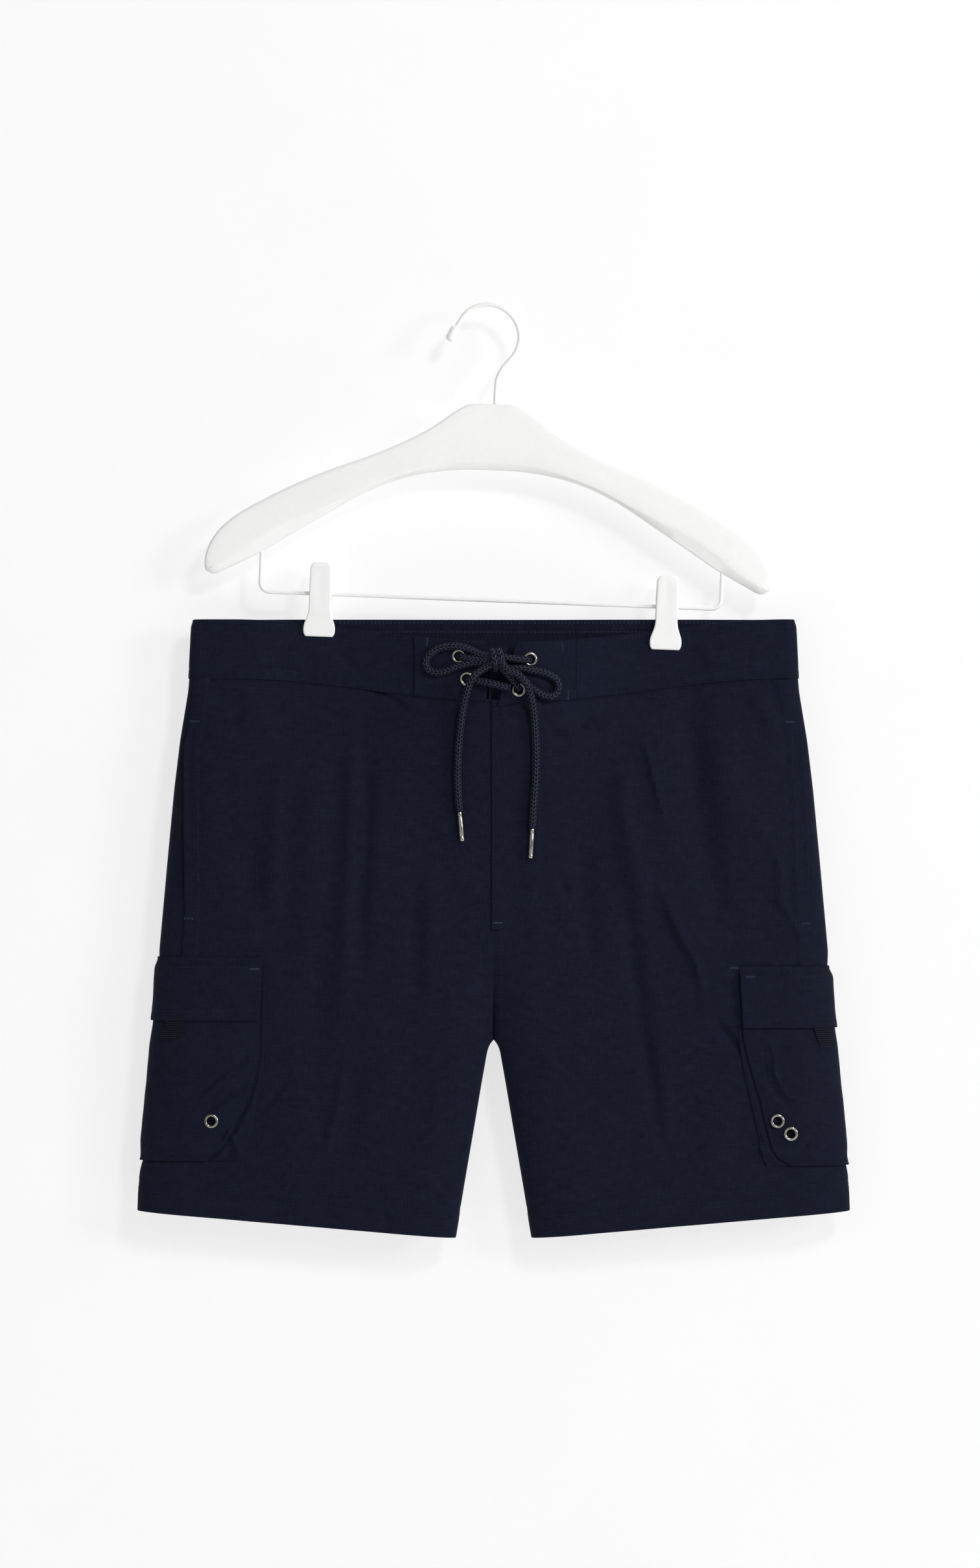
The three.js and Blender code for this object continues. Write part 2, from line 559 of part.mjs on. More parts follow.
for (const [name, pocket] of Object.entries(pockets)) {
  const { side, rows, back, bagTop } = pocket;
  const foot = rows[rows.length - 1].z;
  const cornered = (z, inset) => back - inset - 16 * (1 - roundOff((z - foot + 1) / 16));
  const gussetGrid = rows.map(({ z, gusset }) => (
    roundSide(gusset, cornered(z, -3), z).map((reach) => ({ reach, z }))));
  const hollowGrid = spread(bagTop + 6, foot + gussetBand, 6).map((z) => (
    roundSide(look(rows, 'face', z) - gussetBand, back - gussetBand, z).map((reach) => ({ reach, z }))));
  const full = toSolid(laid(side, gussetGrid, layer.gusset.low, layer.gusset.high));
  const hollow = toSolid(laid(side, hollowGrid, -clothThick, layer.bag.high));
  add(shorts, `cargo_gusset_${name}`, toGeometry(full.subtract(hollow)), 'cloth');

  const bagGrid = rows.map(({ z, face }) => (
    roundSide(face, cornered(z, 0), z).map((reach) => ({ reach, z }))));
  const spots = pocket.eyelets.map(({ reach, z }) => spotOn(side, reach, z, layer.bag.high));
  const bag = laid(side, bagGrid, layer.bag.low, layer.bag.high);
  add(shorts, `cargo_pocket_${name}`, punched(bag, spots, eyelet.cut), 'cloth');
  spots.forEach(({ point, normal }, i) => {
    add(shorts, `eyelet_pocket_${name}_${i + 1}`, eyeletRing(point, normal, trimThick + 0.2), 'nickel');
  });

  const drop = layer.flap.low - seamGap;
  const flapRows = [
    { z: pocket.flapTop, lift: -drop }, { z: mix(pocket.flapTop, bagTop, 0.5), lift: -drop / 2 },
    { z: bagTop + 0.8, lift: 0 }, { z: mix(bagTop, pocket.flapFoot, 0.35), lift: 0 },
    { z: mix(bagTop, pocket.flapFoot, 0.7), lift: 0 }, { z: pocket.flapFoot, lift: 0 },
  ];
  const flapGrid = flapRows.map(({ z, lift }) => (
    roundSide(pocket.flapFront, back + 1, z).map((reach) => ({ reach, z, lift }))));
  add(shorts, `pocket_flap_${name}`, laid(side, flapGrid, layer.flap.low, layer.flap.high), 'cloth');

  const { from, to, length } = pocket.tab;
  const tabTop = pocket.flapFoot - seamGap;
  const tabGrid = spread(tabTop, tabTop - length, 3).map((z) => (
    spread(to, from, 3).map((reach) => ({ reach, z }))));
  add(shorts, `pocket_tab_${name}`, laid(side, tabGrid, layer.flap.low, layer.flap.low + 1.6), 'webbing');

  const mouthGrid = spread(mouth.top, mouth.foot, 8).map((z) => (
    spread(mouth.to, mouth.from, 2).map((reach) => ({ reach, z }))));
  add(shorts, `side_pocket_${name}`, laid(side, mouthGrid, seamGap, seamGap + trimThick), 'cloth');
}

// Fly overlap
function flyLap() {
  const grid = (lift) => fly.rows.map(({ z, to }) => spread(fly.edge, to, 4).map((x) => {
    const side = x < centreX ? -1 : 1;
    return skin(side, fromX(x, side, z), z, lift);
  }));
  return wall(grid(seamGap + trimThick), grid(seamGap));
}
add(shorts, 'fly', flyLap(), 'cloth');

// Lace
function laceAt([x, z, lift]) {
  const side = x < centreX ? -1 : 1;
  const depth = clothDepth(x, z, 'front') + seamGap / 2;
  return new THREE.Vector3(x, -(depth + lift + laceRadius), z);
}
for (const [name, route] of Object.entries(laceRoutes)) {
  add(shorts, name, tube(route.map(laceAt), laceRadius, 8, Math.round(route.length * 1.5)), 'braid');
}
const knotBall = new THREE.SphereGeometry(1, 14, 10);
knotBall.scale(knot.wide, knot.deep, knot.high);
const knotDepth = clothDepth(knot.x, knot.z, 'front') + seamGap / 2 + knot.lift + knot.deep;
knotBall.translate(knot.x, -knotDepth, knot.z);
const strand = tube(knotStrand.map(laceAt), laceRadius, 8, 6);
add(shorts, 'lace_knot', toGeometry(toSolid(knotBall).add(toSolid(strand))), 'braid');

for (const name of ['right', 'left']) {
  const ends = laceRoutes[`lace_tail_${name}`].slice(-2).map(laceAt);
  const along = ends[1].clone().sub(ends[0]).normalize();
  const { radius, length } = aglet;
  const profile = [[0, 0], [radius, 0], [radius, length - 1], [radius - 0.5, length], [0, length]];
  const tip = new THREE.LatheGeometry(profile.map(([x, y]) => new THREE.Vector2(x, y)), 12);
  tip.applyQuaternion(new THREE.Quaternion().setFromUnitVectors(new THREE.Vector3(0, 1, 0), along));
  const start = ends[1].clone().addScaledVector(along, seamGap);
  tip.translate(start.x, start.y, start.z);
  add(shorts, `aglet_${name}`, tip, 'nickel');
}

// Hanger body: one outline with eased edges
function hangerBody() {
  const { axis, thick, bevel } = hanger;
  const half = [...hangerTop, ...hangerTip, ...hangerFoot];
  const mirrored = half.slice(1, -1).map(([x, z]) => [-x, z]).reverse();
  const shape = new THREE.Shape([...half, ...mirrored].map(([x, z]) => new THREE.Vector2(axis + x, z)));
  const body = new THREE.ExtrudeGeometry(shape, {
    depth: thick - 2 * bevel, bevelThickness: bevel, bevelSize: bevel, bevelOffset: -bevel,
    bevelSegments: 2,
  });
  body.rotateX(Math.PI / 2);
  body.translate(0, thick / 2 - bevel, 0);
  const socket = (x, top) => ({
    point: new THREE.Vector3(x, 0, top + seamGap - drillLength / 2), normal: new THREE.Vector3(0, 0, 1),
  });
  const sockets = [
    socket(hanger.barRight, hanger.barTop.right), socket(hanger.barLeft, hanger.barTop.left),
  ];
  return punched(body, sockets, hanger.bar + seamGap);
}
add(clipHanger, 'hanger_body', hangerBody(), 'plastic');

const flatRoute = (route) => route.map(([x, z]) => new THREE.Vector3(x, 0, z));
add(clipHanger, 'hanger_hook', tube(flatRoute(hookRoute), hanger.wire, 8, 30), 'wire');

function hookCapPiece() {
  const from = new THREE.Vector3(hookCap.from[0], 0, hookCap.from[1]);
  const to = new THREE.Vector3(hookCap.to[0], 0, hookCap.to[1]);
  const length = from.distanceTo(to);
  const r = hookCap.radius;
  const profile = [
    [0, 0], [r * 0.7, 0], [r, 1.2], [r, length - 2.4], [r * 0.7, length - 0.7], [0, length],
  ];
  const cap = new THREE.LatheGeometry(profile.map(([x, y]) => new THREE.Vector2(x, y)), 14);
  const along = to.clone().sub(from).normalize();
  cap.applyQuaternion(new THREE.Quaternion().setFromUnitVectors(new THREE.Vector3(0, 1, 0), along));
  cap.translate(from.x, from.y, from.z);
  return cap;
}
add(clipHanger, 'hook_cap', hookCapPiece(), 'plastic');

// Bar: a wire bent down from each arm
function barRoute() {
  const { barRight: a, barLeft: b, barZ: low, barTop, barBend: r } = hanger;
  const bend = (cx, from, to) => spread(from, to, 3).map((angle) => (
    new THREE.Vector3(cx + r * Math.cos(angle), 0, low + r + r * Math.sin(angle))));
  return [
    new THREE.Vector3(a, 0, barTop.right), new THREE.Vector3(a, 0, mix(barTop.right, low + r, 0.5)),
    ...bend(a + r, Math.PI, Math.PI * 1.5),
    ...spread(a + 3 * r, b - 3 * r, 8).map((x) => new THREE.Vector3(x, 0, low)),
    ...bend(b - r, Math.PI * 1.5, Math.PI * 2),
    new THREE.Vector3(b, 0, mix(barTop.left, low + r, 0.5)), new THREE.Vector3(b, 0, barTop.left),
  ];
}
add(clipHanger, 'hanger_bar', tube(barRoute(), hanger.bar, 8, 44), 'wire');

// Clips: two levers and the hub between them
function clipLever(x, sign) {
  const grid = (key) => clipRows.map(({ up, half, face, thick }) => (
    [-1, -0.86, -0.4, 0.4, 0.86, 1].map((t) => {
      const dish = Math.abs(t) > 0.9 ? 0.5 : 0;
      const away = key === 'outer' ? face + thick - dish : face;
      return new THREE.Vector3(x + half * t, sign * away, hanger.barZ + up);
    })));
  return wall(grid('outer'), grid('inner'));
}
for (const [name, x] of [['right', hanger.clipRight], ['left', hanger.clipLeft]]) {
  add(clipHanger, `clip_front_${name}`, clipLever(x, -1), 'plastic');
  add(clipHanger, `clip_back_${name}`, clipLever(x, 1), 'plastic');
  const { radius, bore, length } = clipHub;
  const profile = [
    [bore, -length / 2], [radius, -length / 2], [radius, length / 2], [bore, length / 2],
    [bore, -length / 2],
  ];
  const hub = new THREE.LatheGeometry(profile.map(([a, b]) => new THREE.Vector2(a, b)), 16);
  hub.rotateZ(Math.PI / 2);
  hub.translate(x, 0, hanger.barZ);
  add(clipHanger, `clip_hub_${name}`, hub, 'plastic');
}

const object = new THREE.Group();
object.add(shorts, clipHanger);
export default object;
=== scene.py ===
import math

import bmesh
import bpy
import numpy as np
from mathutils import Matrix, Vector


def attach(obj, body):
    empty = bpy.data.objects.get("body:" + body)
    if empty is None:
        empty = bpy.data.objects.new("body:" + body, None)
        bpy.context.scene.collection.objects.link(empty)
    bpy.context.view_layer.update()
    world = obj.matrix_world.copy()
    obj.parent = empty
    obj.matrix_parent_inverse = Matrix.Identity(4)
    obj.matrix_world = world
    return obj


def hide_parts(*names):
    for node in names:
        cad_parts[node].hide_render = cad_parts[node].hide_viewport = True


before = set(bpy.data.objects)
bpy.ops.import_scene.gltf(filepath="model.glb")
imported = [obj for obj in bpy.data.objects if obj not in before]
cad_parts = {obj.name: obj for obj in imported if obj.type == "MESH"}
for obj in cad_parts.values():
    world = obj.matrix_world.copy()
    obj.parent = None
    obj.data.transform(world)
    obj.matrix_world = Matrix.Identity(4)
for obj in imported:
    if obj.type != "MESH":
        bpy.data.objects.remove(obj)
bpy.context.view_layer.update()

mm = 0.001
print("frame loaded:", len(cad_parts), "nodes")


def placed(name, data):
    thing = bpy.data.objects.new(name, data)
    bpy.context.scene.collection.objects.link(thing)
    return thing


# The camera looks straight on, as the photograph does
cameraView = {
    "distance": 3.2,
    "frontPlane": -0.012,    # the plane of the cloth that the frame's height is measured on
    "frameHeight": 1.1644,
    "centre": (-0.0003, -0.3556),
    "sensor": 36.0,
}


def makeCamera():
    data = bpy.data.cameras.new("camera")
    data.sensor_width = cameraView["sensor"]
    data.lens = cameraView["distance"] * cameraView["sensor"] / cameraView["frameHeight"]
    data.clip_end = 50
    camera = placed("camera", data)
    x, z = cameraView["centre"]
    camera.location = (x, cameraView["frontPlane"] - cameraView["distance"], z)
    camera.rotation_euler = (math.pi / 2, 0, 0)
    bpy.context.scene.camera = camera


makeCamera()
bpy.context.scene.view_settings.view_transform = "Standard"


# Number helpers
def clamp(t):
    return np.clip(t, 0.0, 1.0)


def smooth(t):
    t = clamp(t)
    return t * t * (3 - 2 * t)


def mix(a, b, t):
    return a + (b - a) * t


def roundOff(t):
    return np.sqrt(np.maximum(0.0, 1 - (1 - clamp(t)) ** 2))


# A ridge that is 1 where the distance is 0, and a third of that at its width
def ridge(distance, width):
    return np.exp(-(distance / width) ** 2)


# The middles of a grid's cells
def middles(grid):
    return (grid[1:, 1:] + grid[:-1, :-1]) / 2


# The hanging garment's form, in millimetres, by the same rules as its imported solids.
# "right" and "left" are the wearer's, so the right leg is on the -X side.
sides = {"right": -1, "left": 1}
form = {
    "centreX": 2.4, "seamGap": 0.3, "waistTop": -233.0, "bandHeight": 44.4, "crotchZ": -546.1,
    "hemOuterZ": -673.2, "hemInnerZ": -693.6,
    "sideRoundWaist": 8.0, "sideRoundHip": 36.0, "inseamRound": 36.0,
    "sagDepth": 17.0, "sagCentre": 14.5, "sagReach": 208.0,
    "holdRight": -128.0, "holdLeft": 129.7, "holdFlat": 14.0, "pinch": 1.8,
    "bulge": (15.0, 5.0), "bulgeEnd": (4.0, 3.0),     # front, back
}

# height, half width from the centre seam to the side seam
outerRows = [
    (-233, 223.1), (-236, 224.6), (-240, 225.2), (-275.5, 227), (-287, 228), (-323.5, 234),
    (-359.9, 238.4), (-408.4, 243), (-456.9, 247.4), (-481, 249.6), (-492, 249), (-530, 251.2),
    (-578, 255.2), (-627, 260.3), (-635, 261.2), (-639, 263.0), (-648, 264.6), (-673.2, 265.5),
    (-694, 266.5),
]
# height, distance of each inseam from the centre line
innerRows = [
    (-546.1, 0), (-550, 2.6), (-553.9, 4.2), (-578.1, 8.5), (-602.4, 12.6), (-650.9, 20.9),
    (-694, 28.1),
]
# height, depth in front of the side seams, depth behind them
depthRows = [
    (-262, 8, 7), (-300, 10, 10), (-340, 12.5, 14), (-400, 14, 18), (-480, 13, 18),
    (-546, 12, 14), (-620, 12, 12), (-694, 13, 12.5),
]
# face, x at the top, top, foot, rise, width, lean
largestFolds = [
    ("front", -134, -318, -525, 1.7, 13, -0.06), ("front", -104, -300, -500, -1.3, 11, 0.02),
    ("front", -88, -330, -540, 1.4, 11, 0.05), ("front", 112, -300, -410, 1.8, 12, -0.16),
    ("front", 84, -300, -378, 1.2, 11, -0.06), ("front", 113, -418, -505, 1.5, 13, -0.7),
    ("front", 170, -560, -690, 1.3, 14, 0.02), ("front", -150, -560, -690, 1.2, 14, -0.05),
    ("back", -122, -300, -470, 1.7, 13, 0.05), ("back", 96, -290, -440, 1.9, 13, -0.07),
    ("back", -60, -430, -560, 1.3, 13, 0.35), ("back", 62, -440, -575, 1.5, 13, -0.3),
    ("back", 140, -520, -680, 1.3, 15, 0.02),
]


def byHeight(rows, column, soften=0.0):
    heights = np.array([-row[0] for row in rows], float)
    values = np.array([row[column] for row in rows], float)

    def at(z):
        shifts = (-soften, -soften / 2, 0, soften / 2, soften)
        return sum(np.interp(-np.asarray(z, float) + shift, heights, values) for shift in shifts) / 5
    return at


outerAt = byHeight(outerRows, 1, 3)
innerAt = byHeight(innerRows, 1)
frontDepth = byHeight(depthRows, 1, 14)
backDepth = byHeight(depthRows, 2, 14)


def sag(x):
    t = (x - form["sagCentre"]) / form["sagReach"]
    return np.where(np.abs(t) < 1, form["sagDepth"] * np.cos(np.clip(t, -1, 1) * math.pi / 2) ** 2, 0.0)


def waistDepth(x, back):
    right = form["holdRight"] + form["holdFlat"]
    left = form["holdLeft"] - form["holdFlat"]
    bulge = np.where(back, form["bulge"][1], form["bulge"][0])
    bulgeEnd = np.where(back, form["bulgeEnd"][1], form["bulgeEnd"][0])
    span = np.where(x < form["sagCentre"], form["sagCentre"] - right, left - form["sagCentre"])
    t = clamp(np.abs(x - form["sagCentre"]) / span)
    middle = bulge * np.cos(t * math.pi / 2) ** 2
    past = np.where(x < 0, form["holdRight"] - form["holdFlat"] - x, x - form["holdLeft"] - form["holdFlat"])
    between = (x > right) & (x < left)
    return form["pinch"] + np.where(between, middle, bulgeEnd * smooth(past / 40))


def foldAt(x, z, back):
    rise = np.zeros(np.broadcast(x, z).shape)
    for face, foldX, top, foot, height, width, lean in largestFolds:
        run = (top - z) / (top - foot)
        across = (x - (foldX - lean * (top - z))) / width
        here = (run > 0) & (run < 1) & (back == (face == "back"))
        wave = np.sin(clamp(run) * math.pi) ** 0.8
        rise = rise + np.where(here, height * np.exp(-across * across) * wave, 0)
    return rise


def sideRound(z):
    return mix(form["sideRoundWaist"], form["sideRoundHip"], smooth((-262 - z) / 85))


def clothDepth(x, z, back):
    outward = np.abs(x - form["centreX"])
    reach = outerAt(z) - outward
    inward = outward - innerAt(z)
    hanging = np.where(back, backDepth(z), frontDepth(z))
    body = mix(waistDepth(x, back), hanging, smooth((-262 - z) / 138))
    side = roundOff(reach / sideRound(z))
    t = clamp(inward / form["inseamRound"])
    leg = z < form["crotchZ"]
    turn = np.where(leg, 1, 0.7 * smooth((-490 - z) / 56))
    sink = np.where(leg, 1, 0.86 * smooth((-468 - z) / 78))
    shape = mix(np.sin(t * math.pi / 2), roundOff(t), turn)
    return (body + foldAt(x, z, back)) * side * (1 - sink + sink * shape)


# A place round the body: reach is the distance in from the side seam, negative on the back
def pointAtTurn(side, turn, z):
    rounding = sideRound(z)
    far = np.abs(turn)
    near = rounding * (1 - np.cos(clamp(far) * math.pi / 2))
    reach = np.where(far < 1, near, rounding * (1 + (far - 1) * math.pi / 2))
    x = form["centreX"] + side * (outerAt(z) - reach)
    back = turn < 0
    away = clothDepth(x, z, back) + form["seamGap"] / 2 * clamp(far * 20)
    return np.stack([x, np.where(back, away, -away), z + 0 * x], -1)


def skin(side, reach, z, out, facing=None):
    reach, z = np.broadcast_arrays(np.asarray(reach, float), np.asarray(z, float))
    far = np.abs(reach) / sideRound(z)
    inRound = np.arccos(1 - clamp(far)) / (math.pi / 2)
    turn = np.sign(reach) * np.where(far < 1, inRound, 1 + (far - 1) / (math.pi / 2))
    point = pointAtTurn(side, turn, z)
    along = pointAtTurn(side, turn + 0.02, z) - pointAtTurn(side, turn - 0.02, z)
    normal = np.stack([-side * along[..., 1], side * along[..., 0], 0 * z], -1)
    normal = normal / np.linalg.norm(normal, axis=-1, keepdims=True)
    if facing is not None:
        normal = np.where(np.isnan(facing), normal, facing)
    return point + normal * np.asarray(out, float)[..., None]


def fromX(x, side, z):
    return outerAt(z) - side * (x - form["centreX"])


def sideOf(x):
    return np.where(np.asarray(x) < form["centreX"], -1.0, 1.0)


def onFront(x, z, out):
    x, z = np.asarray(x, float), np.asarray(z, float)
    side = sideOf(x)
    return skin(side, fromX(x, side, z), z, out)


# Creases: the distance to a listed line gives a soft ridge or trough, fading at its ends
def creaseAt(x, z, creases):
    total = np.zeros(np.broadcast(x, z).shape)
    for rise, width, points in creases:
        points = np.array(points, float)
        steps = np.linalg.norm(np.diff(points, axis=0), axis=1)
        whole = steps.sum()
        nearest = np.full(total.shape, 1e9)
        share = np.zeros(total.shape)
        done = 0.0
        for a, b, step in zip(points[:-1], points[1:], steps):
            t = ((x - a[0]) * (b[0] - a[0]) + (z - a[1]) * (b[1] - a[1])) / step ** 2
            t = clamp(t)
            gap = np.hypot(x - mix(a[0], b[0], t), z - mix(a[1], b[1], t))
            closer = gap < nearest
            nearest = np.where(closer, gap, nearest)
            share = np.where(closer, (done + t * step) / whole, share)
            done += step
        ends = smooth(share / 0.22) * smooth((1 - share) / 0.3)
        total += rise * (0.12 + 0.88 * ends) * ridge(nearest, width)
    return total


# Small uneven waves in the cloth, mostly upright, from a fixed seed
def ripples(x, z, seed, height, longest, shortest, upright=0.8, count=14):
    chance = np.random.default_rng(seed)
    total = 0
    for _ in range(count):
        length = chance.uniform(shortest, longest)
        lean = chance.normal(0, (1 - upright) * 1.4)
        phase = chance.uniform(0, 2 * math.pi)
        total = total + np.sin(2 * math.pi / length * (x * math.cos(lean) + z * math.sin(lean)) + phase)
    return height * total / math.sqrt(count)


# Mesh makers
def newObject(name, vertices, faces, material, uv, smoothAngle=40):
    mesh = bpy.data.meshes.new(name)
    mesh.from_pydata([tuple(v) for v in np.asarray(vertices) * mm], [], [tuple(f) for f in faces])
    layer = mesh.uv_layers.new(name="weave")
    loops = np.zeros(len(mesh.loops), np.int32)
    mesh.loops.foreach_get("vertex_index", loops)
    layer.data.foreach_set("uv", (np.asarray(uv)[loops] * mm).ravel())
    mesh.shade_smooth()
    mesh.set_sharp_from_angle(angle=math.radians(smoothAngle))
    mesh.materials.append(material)
    return placed("made_" + name, mesh)


def arcs(points):
    across = np.linalg.norm(np.diff(points, axis=1), axis=2)
    return np.concatenate([np.zeros((len(points), 1)), np.cumsum(across, axis=1)], axis=1)


# A shell between two grids, closed round its rim and round each place where cells are left out
def shell(name, outer, inner, material, cut=None):
    rows, cols = outer.shape[:2]
    half = rows * cols
    points = np.concatenate([outer.reshape(-1, 3), inner.reshape(-1, 3)])
    keep = np.ones((rows - 1, cols - 1), bool) if cut is None else ~cut
    padded = np.zeros((rows + 1, cols + 1), bool)
    padded[1:-1, 1:-1] = keep
    faces = []
    for i, j in np.argwhere(keep):
        a, b = i * cols + j, (i + 1) * cols + j
        faces.append((a, b, b + 1, a + 1))
        faces.append((half + a, half + a + 1, half + b + 1, half + b))
        if not padded[i, j + 1]:
            faces.append((a, a + 1, half + a + 1, half + a))
        if not padded[i + 2, j + 1]:
            faces.append((b + 1, b, half + b, half + b + 1))
        if not padded[i + 1, j]:
            faces.append((b, a, half + a, half + b))
        if not padded[i + 1, j + 2]:
            faces.append((a + 1, b + 1, half + b + 1, half + a + 1))
    faces = np.array(faces)
    p = points[faces]
    volume = sum(np.einsum("ij,ij->i", p[:, 0], np.cross(p[:, k], p[:, k + 1])).sum() for k in (1, 2))
    if volume < 0:
        faces = faces[:, ::-1]
    used, faces = np.unique(faces, return_inverse=True)
    faces = faces.reshape(-1, 4)
    flat = np.stack([arcs(outer), outer[..., 2]], -1).reshape(-1, 2)
    uv = np.concatenate([flat, flat])[used]
    return newObject(name, points[used], faces, material, uv)


# The flat cut of a piece of cloth, from its smooth form: width, length and area in metres
def cutOf(points, cut=None):
    width = arcs(points)[:, -1].max()
    length = arcs(points.transpose(1, 0, 2))[:, -1].max()
    a, b = points[1:, :-1] - points[:-1, :-1], points[:-1, 1:] - points[:-1, :-1]
    area = np.linalg.norm(np.cross(a, b), axis=-1)
    area = area.sum() if cut is None else area[~cut].sum()
    return width * mm, length * mm, min(area * mm * mm, width * length * mm * mm)


# A piece of cloth, built as a shell on the root. The flat cut of its smooth form is worked out but not used:
# a folded strip gives its own length, and its area leaves out the cells that are cut.
def clothPiece(name, outer, inner, smoothForm, restsOn, cut=None, strip=None, slot="cloth"):
    piece = shell(name, outer, inner, webbing if slot == "webbing" else cloth, cut)
    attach(piece, "root")
    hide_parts(name)
    width, length, area = cutOf(smoothForm, cut if strip else None)
    if strip:
        width, length = area / (strip * mm), strip * mm


def finishHard(piece, slot, *nodes):
    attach(piece, "root")
    if nodes:
        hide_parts(*nodes)
    return piece


# A piece of cloth between two lifts from the form, both taken at the same places
def layer(name, side, reach, z, high, low, restsOn, facing=None, **kind):
    clothPiece(name, skin(side, reach, z, high, facing), skin(side, reach, z, low, facing),
               skin(side, reach, z, 0, facing), restsOn, **kind)


def distances(line):
    return np.concatenate([[0], np.cumsum(np.linalg.norm(np.diff(line, axis=0), axis=1))])


def atDistances(line, places):
    along = distances(line)
    return np.stack([np.interp(places, along, column) for column in line.T], -1)


# A smooth line through points, resampled at an even step
def curveThrough(points, step):
    points = np.array(points, float)
    ends = np.vstack([2 * points[0] - points[1], points, 2 * points[-1] - points[-2]])
    line = []
    for p0, p1, p2, p3 in zip(ends[:-3], ends[1:-2], ends[2:-1], ends[3:]):
        gaps = [np.sqrt(np.linalg.norm(b - a)) for a, b in ((p0, p1), (p1, p2), (p2, p3))]
        t0, t1, t2, t3 = 0, gaps[0], gaps[0] + gaps[1], sum(gaps)
        t = np.linspace(t1, t2, 24, endpoint=False)[:, None]
        a1 = (t1 - t) / (t1 - t0) * p0 + (t - t0) / (t1 - t0) * p1
        a2 = (t2 - t) / (t2 - t1) * p1 + (t - t1) / (t2 - t1) * p2
        a3 = (t3 - t) / (t3 - t2) * p2 + (t - t2) / (t3 - t2) * p3
        b1 = (t2 - t) / (t2 - t0) * a1 + (t - t0) / (t2 - t0) * a2
        b2 = (t3 - t) / (t3 - t1) * a2 + (t - t1) / (t3 - t1) * a3
        line.append((t2 - t) / (t2 - t1) * b1 + (t - t1) / (t2 - t1) * b2)
    line = np.vstack([*line, points[-1:]])
    whole = distances(line)[-1]
    return atDistances(line, np.linspace(0, whole, max(2, int(round(whole / step)) + 1)))


def tangents(line):
    along = np.gradient(line, axis=0)
    return along / np.linalg.norm(along, axis=1, keepdims=True)


# A round tube along a line: relief gives each point's change of radius by angle and distance
def tube(line, radius, count, relief=None):
    along = tangents(line)
    across = np.cross(along[0], (0, 1, 0.01))
    frames = []
    for direction in along:
        across = across - direction * np.dot(across, direction)
        across = across / np.linalg.norm(across)
        frames.append((across, np.cross(direction, across)))
    travelled = distances(line)
    angle = np.arange(count) / count * 2 * math.pi
    rings = []
    for place, distance, (a, b) in zip(line, travelled, frames):
        r = radius + (relief(angle, distance) if relief else 0) + 0 * angle
        rings.append(place + (np.cos(angle) * r)[:, None] * a + (np.sin(angle) * r)[:, None] * b)
    vertices = np.vstack([*rings, line[:1], line[-1:]])
    faces = []
    turn = [(j + 1) % count for j in range(count)]
    for i in range(len(line) - 1):
        low, high = i * count, (i + 1) * count
        faces += [(low + j, low + k, high + k, high + j) for j, k in enumerate(turn)]
    first, last = len(line) * count, len(line) * count + 1
    top = (len(line) - 1) * count
    faces += [(first, k, j) for j, k in enumerate(turn)]
    faces += [(last, top + j, top + k) for j, k in enumerate(turn)]
    uv = [(a / (2 * math.pi) * 10, d) for d in travelled for a in angle] + [(0, 0), (0, travelled[-1])]
    return vertices, faces, uv


# A turned piece: (radius, height) pairs round an axis, closed on itself
def turned(profile, centre, axis, segments):
    axis = np.array(axis, float) / np.linalg.norm(axis)
    a = np.cross(axis, (0.3, 0.1, 1))
    a = a / np.linalg.norm(a)
    b = np.cross(axis, a)
    centre = np.array(centre, float)
    angle = np.arange(segments) / segments * 2 * math.pi
    circle = np.cos(angle)[:, None] * a + np.sin(angle)[:, None] * b
    vertices, faces = [], []
    rings = len(profile)
    for radius, height in profile:
        vertices.append(centre + axis * height + circle * radius)
    for i in range(rings):
        k = (i + 1) % rings
        for j in range(segments):
            n = (j + 1) % segments
            faces.append((i * segments + j, k * segments + j, k * segments + n, i * segments + n))
    return np.vstack(vertices), faces


def stacked(parts):
    vertices, faces, uv, start = [], [], [], 0
    for part in parts:
        points = np.asarray(part[0])
        vertices.append(points)
        faces += [tuple(int(i) + start for i in face) for face in part[1]]
        uv += list(part[2]) if len(part) > 2 else [(p[0], p[2]) for p in points]
        start += len(points)
    return np.vstack(vertices), faces, uv


def joined(name, parts, material, smoothAngle=40):
    vertices, faces, uv = stacked(parts)
    piece = newObject(name, vertices, faces, material, uv, smoothAngle)
    mesh = bmesh.new()
    mesh.from_mesh(piece.data)
    bmesh.ops.remove_doubles(mesh, verts=mesh.verts, dist=1e-7)
    bmesh.ops.recalc_face_normals(mesh, faces=mesh.faces)
    mesh.to_mesh(piece.data)
    mesh.free()
    return piece


# Node helpers
def addNode(tree, kind, **values):
    node = tree.nodes.new(kind)
    for key, value in values.items():
        setattr(node, key, value)
    return node


def math2(tree, operation, a, b=None, c=None):
    node = addNode(tree, "ShaderNodeMath", operation=operation)
    for socket, value in zip(node.inputs, (a, b, c)):
        if value is None:
            continue
        if isinstance(value, (int, float)):
            socket.default_value = value
        else:
            tree.links.new(value, socket)
    return node.outputs[0]


def newGroup(name, inputs, outputs):
    tree = bpy.data.node_groups.new(name, "ShaderNodeTree")
    kinds = {"float": "NodeSocketFloat", "vector": "NodeSocketVector"}
    for label, kind, value in inputs:
        socket = tree.interface.new_socket(label, in_out="INPUT", socket_type=kinds[kind])
        if value is not None:
            socket.default_value = value
    for label, kind in outputs:
        tree.interface.new_socket(label, in_out="OUTPUT", socket_type=kinds[kind])
    return tree, addNode(tree, "NodeGroupInput"), addNode(tree, "NodeGroupOutput")


